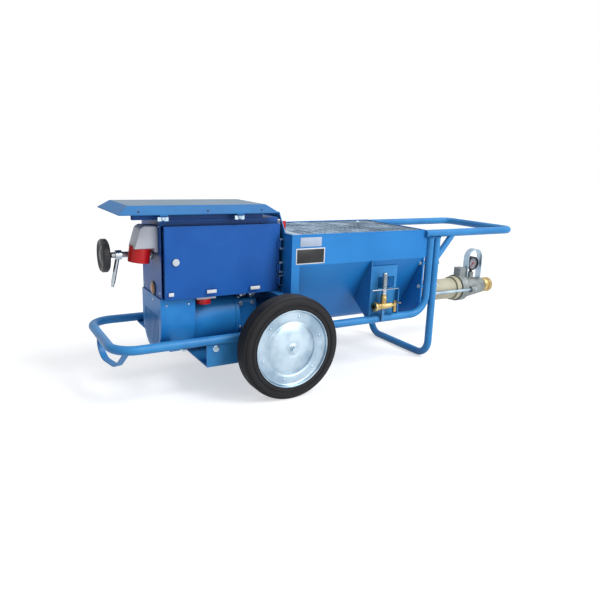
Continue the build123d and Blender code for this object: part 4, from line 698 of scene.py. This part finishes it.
def water_fitting():
    """Brass tee with claw coupling, its stand, the drain cock and the knurled handle."""
    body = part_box("water_valve_body")
    axis = joint_at("water_valve_turn")
    cock = joint_at("drain_cock_turn")
    z = body[1][2] - TEE_BELOW_NECK * MM
    tee = Vector((axis.x, axis.y, z))
    mouth = Vector((body[0][0], axis.y, z))
    tube_z = middle("axle").z + 26.85 * MM
    brass = Shape("brass")
    brass.lathe([(0, 9), (0, 17), (1.5, 20), (11, 20), (12.5, 18), (14, 16), (20, 15), (22, 16.5), (28, 16.5),
                 (30, 14), (33, 13), (38, 13), (40, 14.5), (62, 14.5), (64, 13), (84, 13), (86, 11), (92, 10),
                 (94, 8), (111, 8), (111, 0), (60, 0), (60, 9)], mouth, "X", 1, 56)
    for side in (-1, 1):
        lug = mouth + Vector((5.5, 0, side * 17)) * MM
        brass.box(lug - Vector((5, 6, 3)) * MM, lug + Vector((5, 6, 3)) * MM, 1.2)
    brass.lathe([(8, 0), (8, 12), (24, 12), (26, 13.5), (40, 13.5), (42, 12), (50, 12), (50, 6.4),
                 (20.5, 6.4), (20.5, 0)], tee, "Z", 1, 48)
    brass.lathe([(84.5, 8), (84.5, 12), (91, 12), (91, 8)], mouth, "X", 1, 6)
    brass.lathe([(-30, 4), (-30, 8), (-24, 8.6), (-16, 8.6), (-14, 8), (9, 8), (12, 6), (12, 0), (6, 0),
                 (6, 4)], Vector((cock.x, cock.y, z)), "Z", 1, 36)
    brass.use("rubber").lathe([(0.5, 9), (0.5, 15), (4, 15), (4, 9)], mouth, "X", 1, 48)
    brass.use("frame_blue")
    brass.box(Vector((axis.x - 6 * MM, axis.y - 3.5 * MM, tube_z - 8 * MM)),
              Vector((axis.x + 6 * MM, axis.y + 3.5 * MM, z - 12 * MM)), 0.8)
    brass.box(Vector((axis.x - 6 * MM, axis.y, tube_z - 8 * MM)),
              Vector((axis.x + 6 * MM, axis.y + 8 * MM, tube_z)), 0.8)
    brass.build("water_tee_turned", "chassis", "brass", ("water_valve_body",))

    low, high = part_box("water_valve_handle")
    base = Vector((axis.x, axis.y, low[2]))
    total = (high[2] - low[2]) / MM
    bar_z = total - HANDLE_GRIP
    handle = Shape("chrome")
    handle.lathe([(0, 0), (0, 5.8), (28, 5.8), (28.6, 10), (30, 11), (38, 11), (39, 9.5), (42, 9.5), (43, 11),
                  (50, 11), (52, 9), (53, 6), (bar_z, 6), (bar_z, 0)], base, "Z", 1, 48)
    ridges = [(bar_z, 0), (bar_z, 9), (bar_z + 4, 9)]
    pitch = (total - bar_z - 8) / RIDGES
    for k in range(RIDGES):
        start = bar_z + 5 + k * pitch
        ridges += [(start, 10.2), (start + 0.35 * pitch, 12), (start + 0.65 * pitch, 12)]
    ridges += [(total - 2.5, 9.5), (total, 8), (total, 0)]
    handle.lathe(ridges, base, "Z", 1, 40)
    y = base.y
    handle.box(Vector((low[0], y - 6 * MM, base.z + (bar_z - 4) * MM)),
               Vector((high[0], y + 6 * MM, base.z + bar_z * MM)), 1.2)
    handle.build("water_handle_knurled", "water_handle", "chrome", ("water_valve_handle",), 24)


# ---- drive --------------------------------------------------------------------------
def motor_details():
    axis = middle("motor_housing")
    radius = (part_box("motor_housing")[1][2] - axis.z) / MM
    bands = Shape("motor_blue")
    for x in MOTOR_BAND_X:
        bands.lathe([(-3, radius - 0.5), (-3, radius + 1), (-2, radius + 1.6), (2, radius + 1.6),
                     (3, radius + 1), (3, radius - 0.5)],
                    Vector((at(x, 0, 0).x, axis.y, axis.z)), "X", 1, 96)
    bands.build("motor_bands", "chassis", "motor_blue")
    bolts = Shape("zinc")
    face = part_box("gearbox_housing")
    for x in GEARBOX_TOP_BOLTS[0]:
        for y in GEARBOX_TOP_BOLTS[1]:
            bolts.bolt(Vector((at(x, 0, 0).x, y * MM, face[1][2])), "Z", 1, 13, 6)
    for x in GEARBOX_SIDE_BOLTS[0]:
        for z in GEARBOX_SIDE_BOLTS[1]:
            bolts.bolt(Vector((at(x, 0, 0).x, face[0][1], z * MM)), "Y", -1, 13, 6)
    bolts.build("gearbox_bolts", "chassis", "zinc")


# ---- camera, light and floor --------------------------------------------------------
def seen_directly(tree):
    """1 for camera, mirror and glass rays, so that they meet the white background."""
    path = tree.nodes.new("ShaderNodeLightPath")
    value = path.outputs["Is Camera Ray"]
    for name in ("Is Glossy Ray", "Is Transmission Ray"):
        largest = tree.nodes.new("ShaderNodeMath")
        largest.operation = "MAXIMUM"
        tree.links.new(value, largest.inputs[0])
        tree.links.new(path.outputs[name], largest.inputs[1])
        value = largest.outputs["Value"]
    return value


def studio():
    scene = bpy.context.scene
    scene.view_settings.view_transform = "Standard"
    lens = bpy.data.cameras.new("camera")
    lens.sensor_width = SENSOR
    lens.lens = LENS
    camera = bpy.data.objects.new("camera", lens)
    scene.collection.objects.link(camera)
    scene.camera = camera
    yaw, pitch, roll = CAMERA_YAW, CAMERA_PITCH, CAMERA_ROLL
    ahead = Vector((sin(yaw) * cos(pitch), cos(yaw) * cos(pitch), -sin(pitch)))
    level = Vector((cos(yaw), -sin(yaw), 0))
    above = level.cross(ahead)
    right = level * cos(roll) + above * sin(roll)
    top = above * cos(roll) - level * sin(roll)
    turn = Matrix((right, top, -ahead)).transposed().to_4x4()
    camera.matrix_world = Matrix.Translation(at(*CAMERA_AT)) @ turn

    world = bpy.data.worlds.new("studio")
    scene.world = world
    world.use_nodes = True
    nodes, links = world.node_tree.nodes, world.node_tree.links
    glow = nodes["Background"]
    glow.inputs["Color"].default_value = (0.92, 0.96, 1.0, 1)
    glow.inputs["Strength"].default_value = 0.34
    plain = nodes.new("ShaderNodeBackground")
    plain.inputs["Color"].default_value = (1, 1, 1, 1)
    plain.inputs["Strength"].default_value = 1.0
    swap = nodes.new("ShaderNodeMixShader")
    links.new(seen_directly(world.node_tree), swap.inputs["Fac"])
    links.new(glow.outputs["Background"], swap.inputs[1])
    links.new(plain.outputs["Background"], swap.inputs[2])
    links.new(swap.outputs["Shader"], nodes["World Output"].inputs["Surface"])

    def lamp(name, kind, place, aim, power, size):
        data = bpy.data.lights.new(name, kind)
        data.energy = power
        if kind == "SUN":
            data.angle = size
        else:
            data.shape = "RECTANGLE"
            data.size, data.size_y = size
        obj = bpy.data.objects.new(name, data)
        scene.collection.objects.link(obj)
        facing = (aim - place).to_track_quat("-Z", "Y").to_matrix().to_4x4()
        obj.matrix_world = Matrix.Translation(place) @ facing

    centre = Vector((0, 0, 0.35))
    lamp("key", "SUN", Vector((1.5, -2.2, 3.3)), centre, 1.7, radians(25))
    lamp("front", "AREA", Vector((1.0, -3.6, 1.5)), centre, 45, (2.4, 1.6))
    lamp("overhead", "AREA", Vector((0.0, 0.6, 3.2)), centre, 22, (3.0, 1.6))

    bpy.ops.mesh.primitive_plane_add(size=60, location=(0, 0, 0))
    floor = bpy.context.object
    floor.name = "studio_floor"
    ground = surface("pale_floor", srgb(205, 206, 208), srgb(210, 211, 213), (0.85, 0.9), bump=0.02)
    tree = ground.node_tree
    lift = tree.nodes.new("ShaderNodeEmission")
    lift.inputs["Color"].default_value = (1, 1, 1, 1)
    lift.inputs["Strength"].default_value = 0.55
    both = tree.nodes.new("ShaderNodeAddShader")
    seen = tree.nodes.new("ShaderNodeMixShader")
    shader = tree.nodes["Principled BSDF"].outputs["BSDF"]
    tree.links.new(shader, both.inputs[0])
    tree.links.new(lift.outputs["Emission"], both.inputs[1])
    tree.links.new(seen_directly(tree), seen.inputs["Fac"])
    tree.links.new(shader, seen.inputs[1])
    tree.links.new(both.outputs["Shader"], seen.inputs[2])
    tree.links.new(seen.outputs["Shader"], tree.nodes["Material Output"].inputs["Surface"])
    floor.data.materials.append(ground)


dress_all()
wheel("right", -1)
wheel("left", 1)
cabinet_details()
power_inlet()
sockets()
roof_details()
frame_details()
hopper_details()
pump_details()
gauge_details()
water_fitting()
motor_details()
studio()
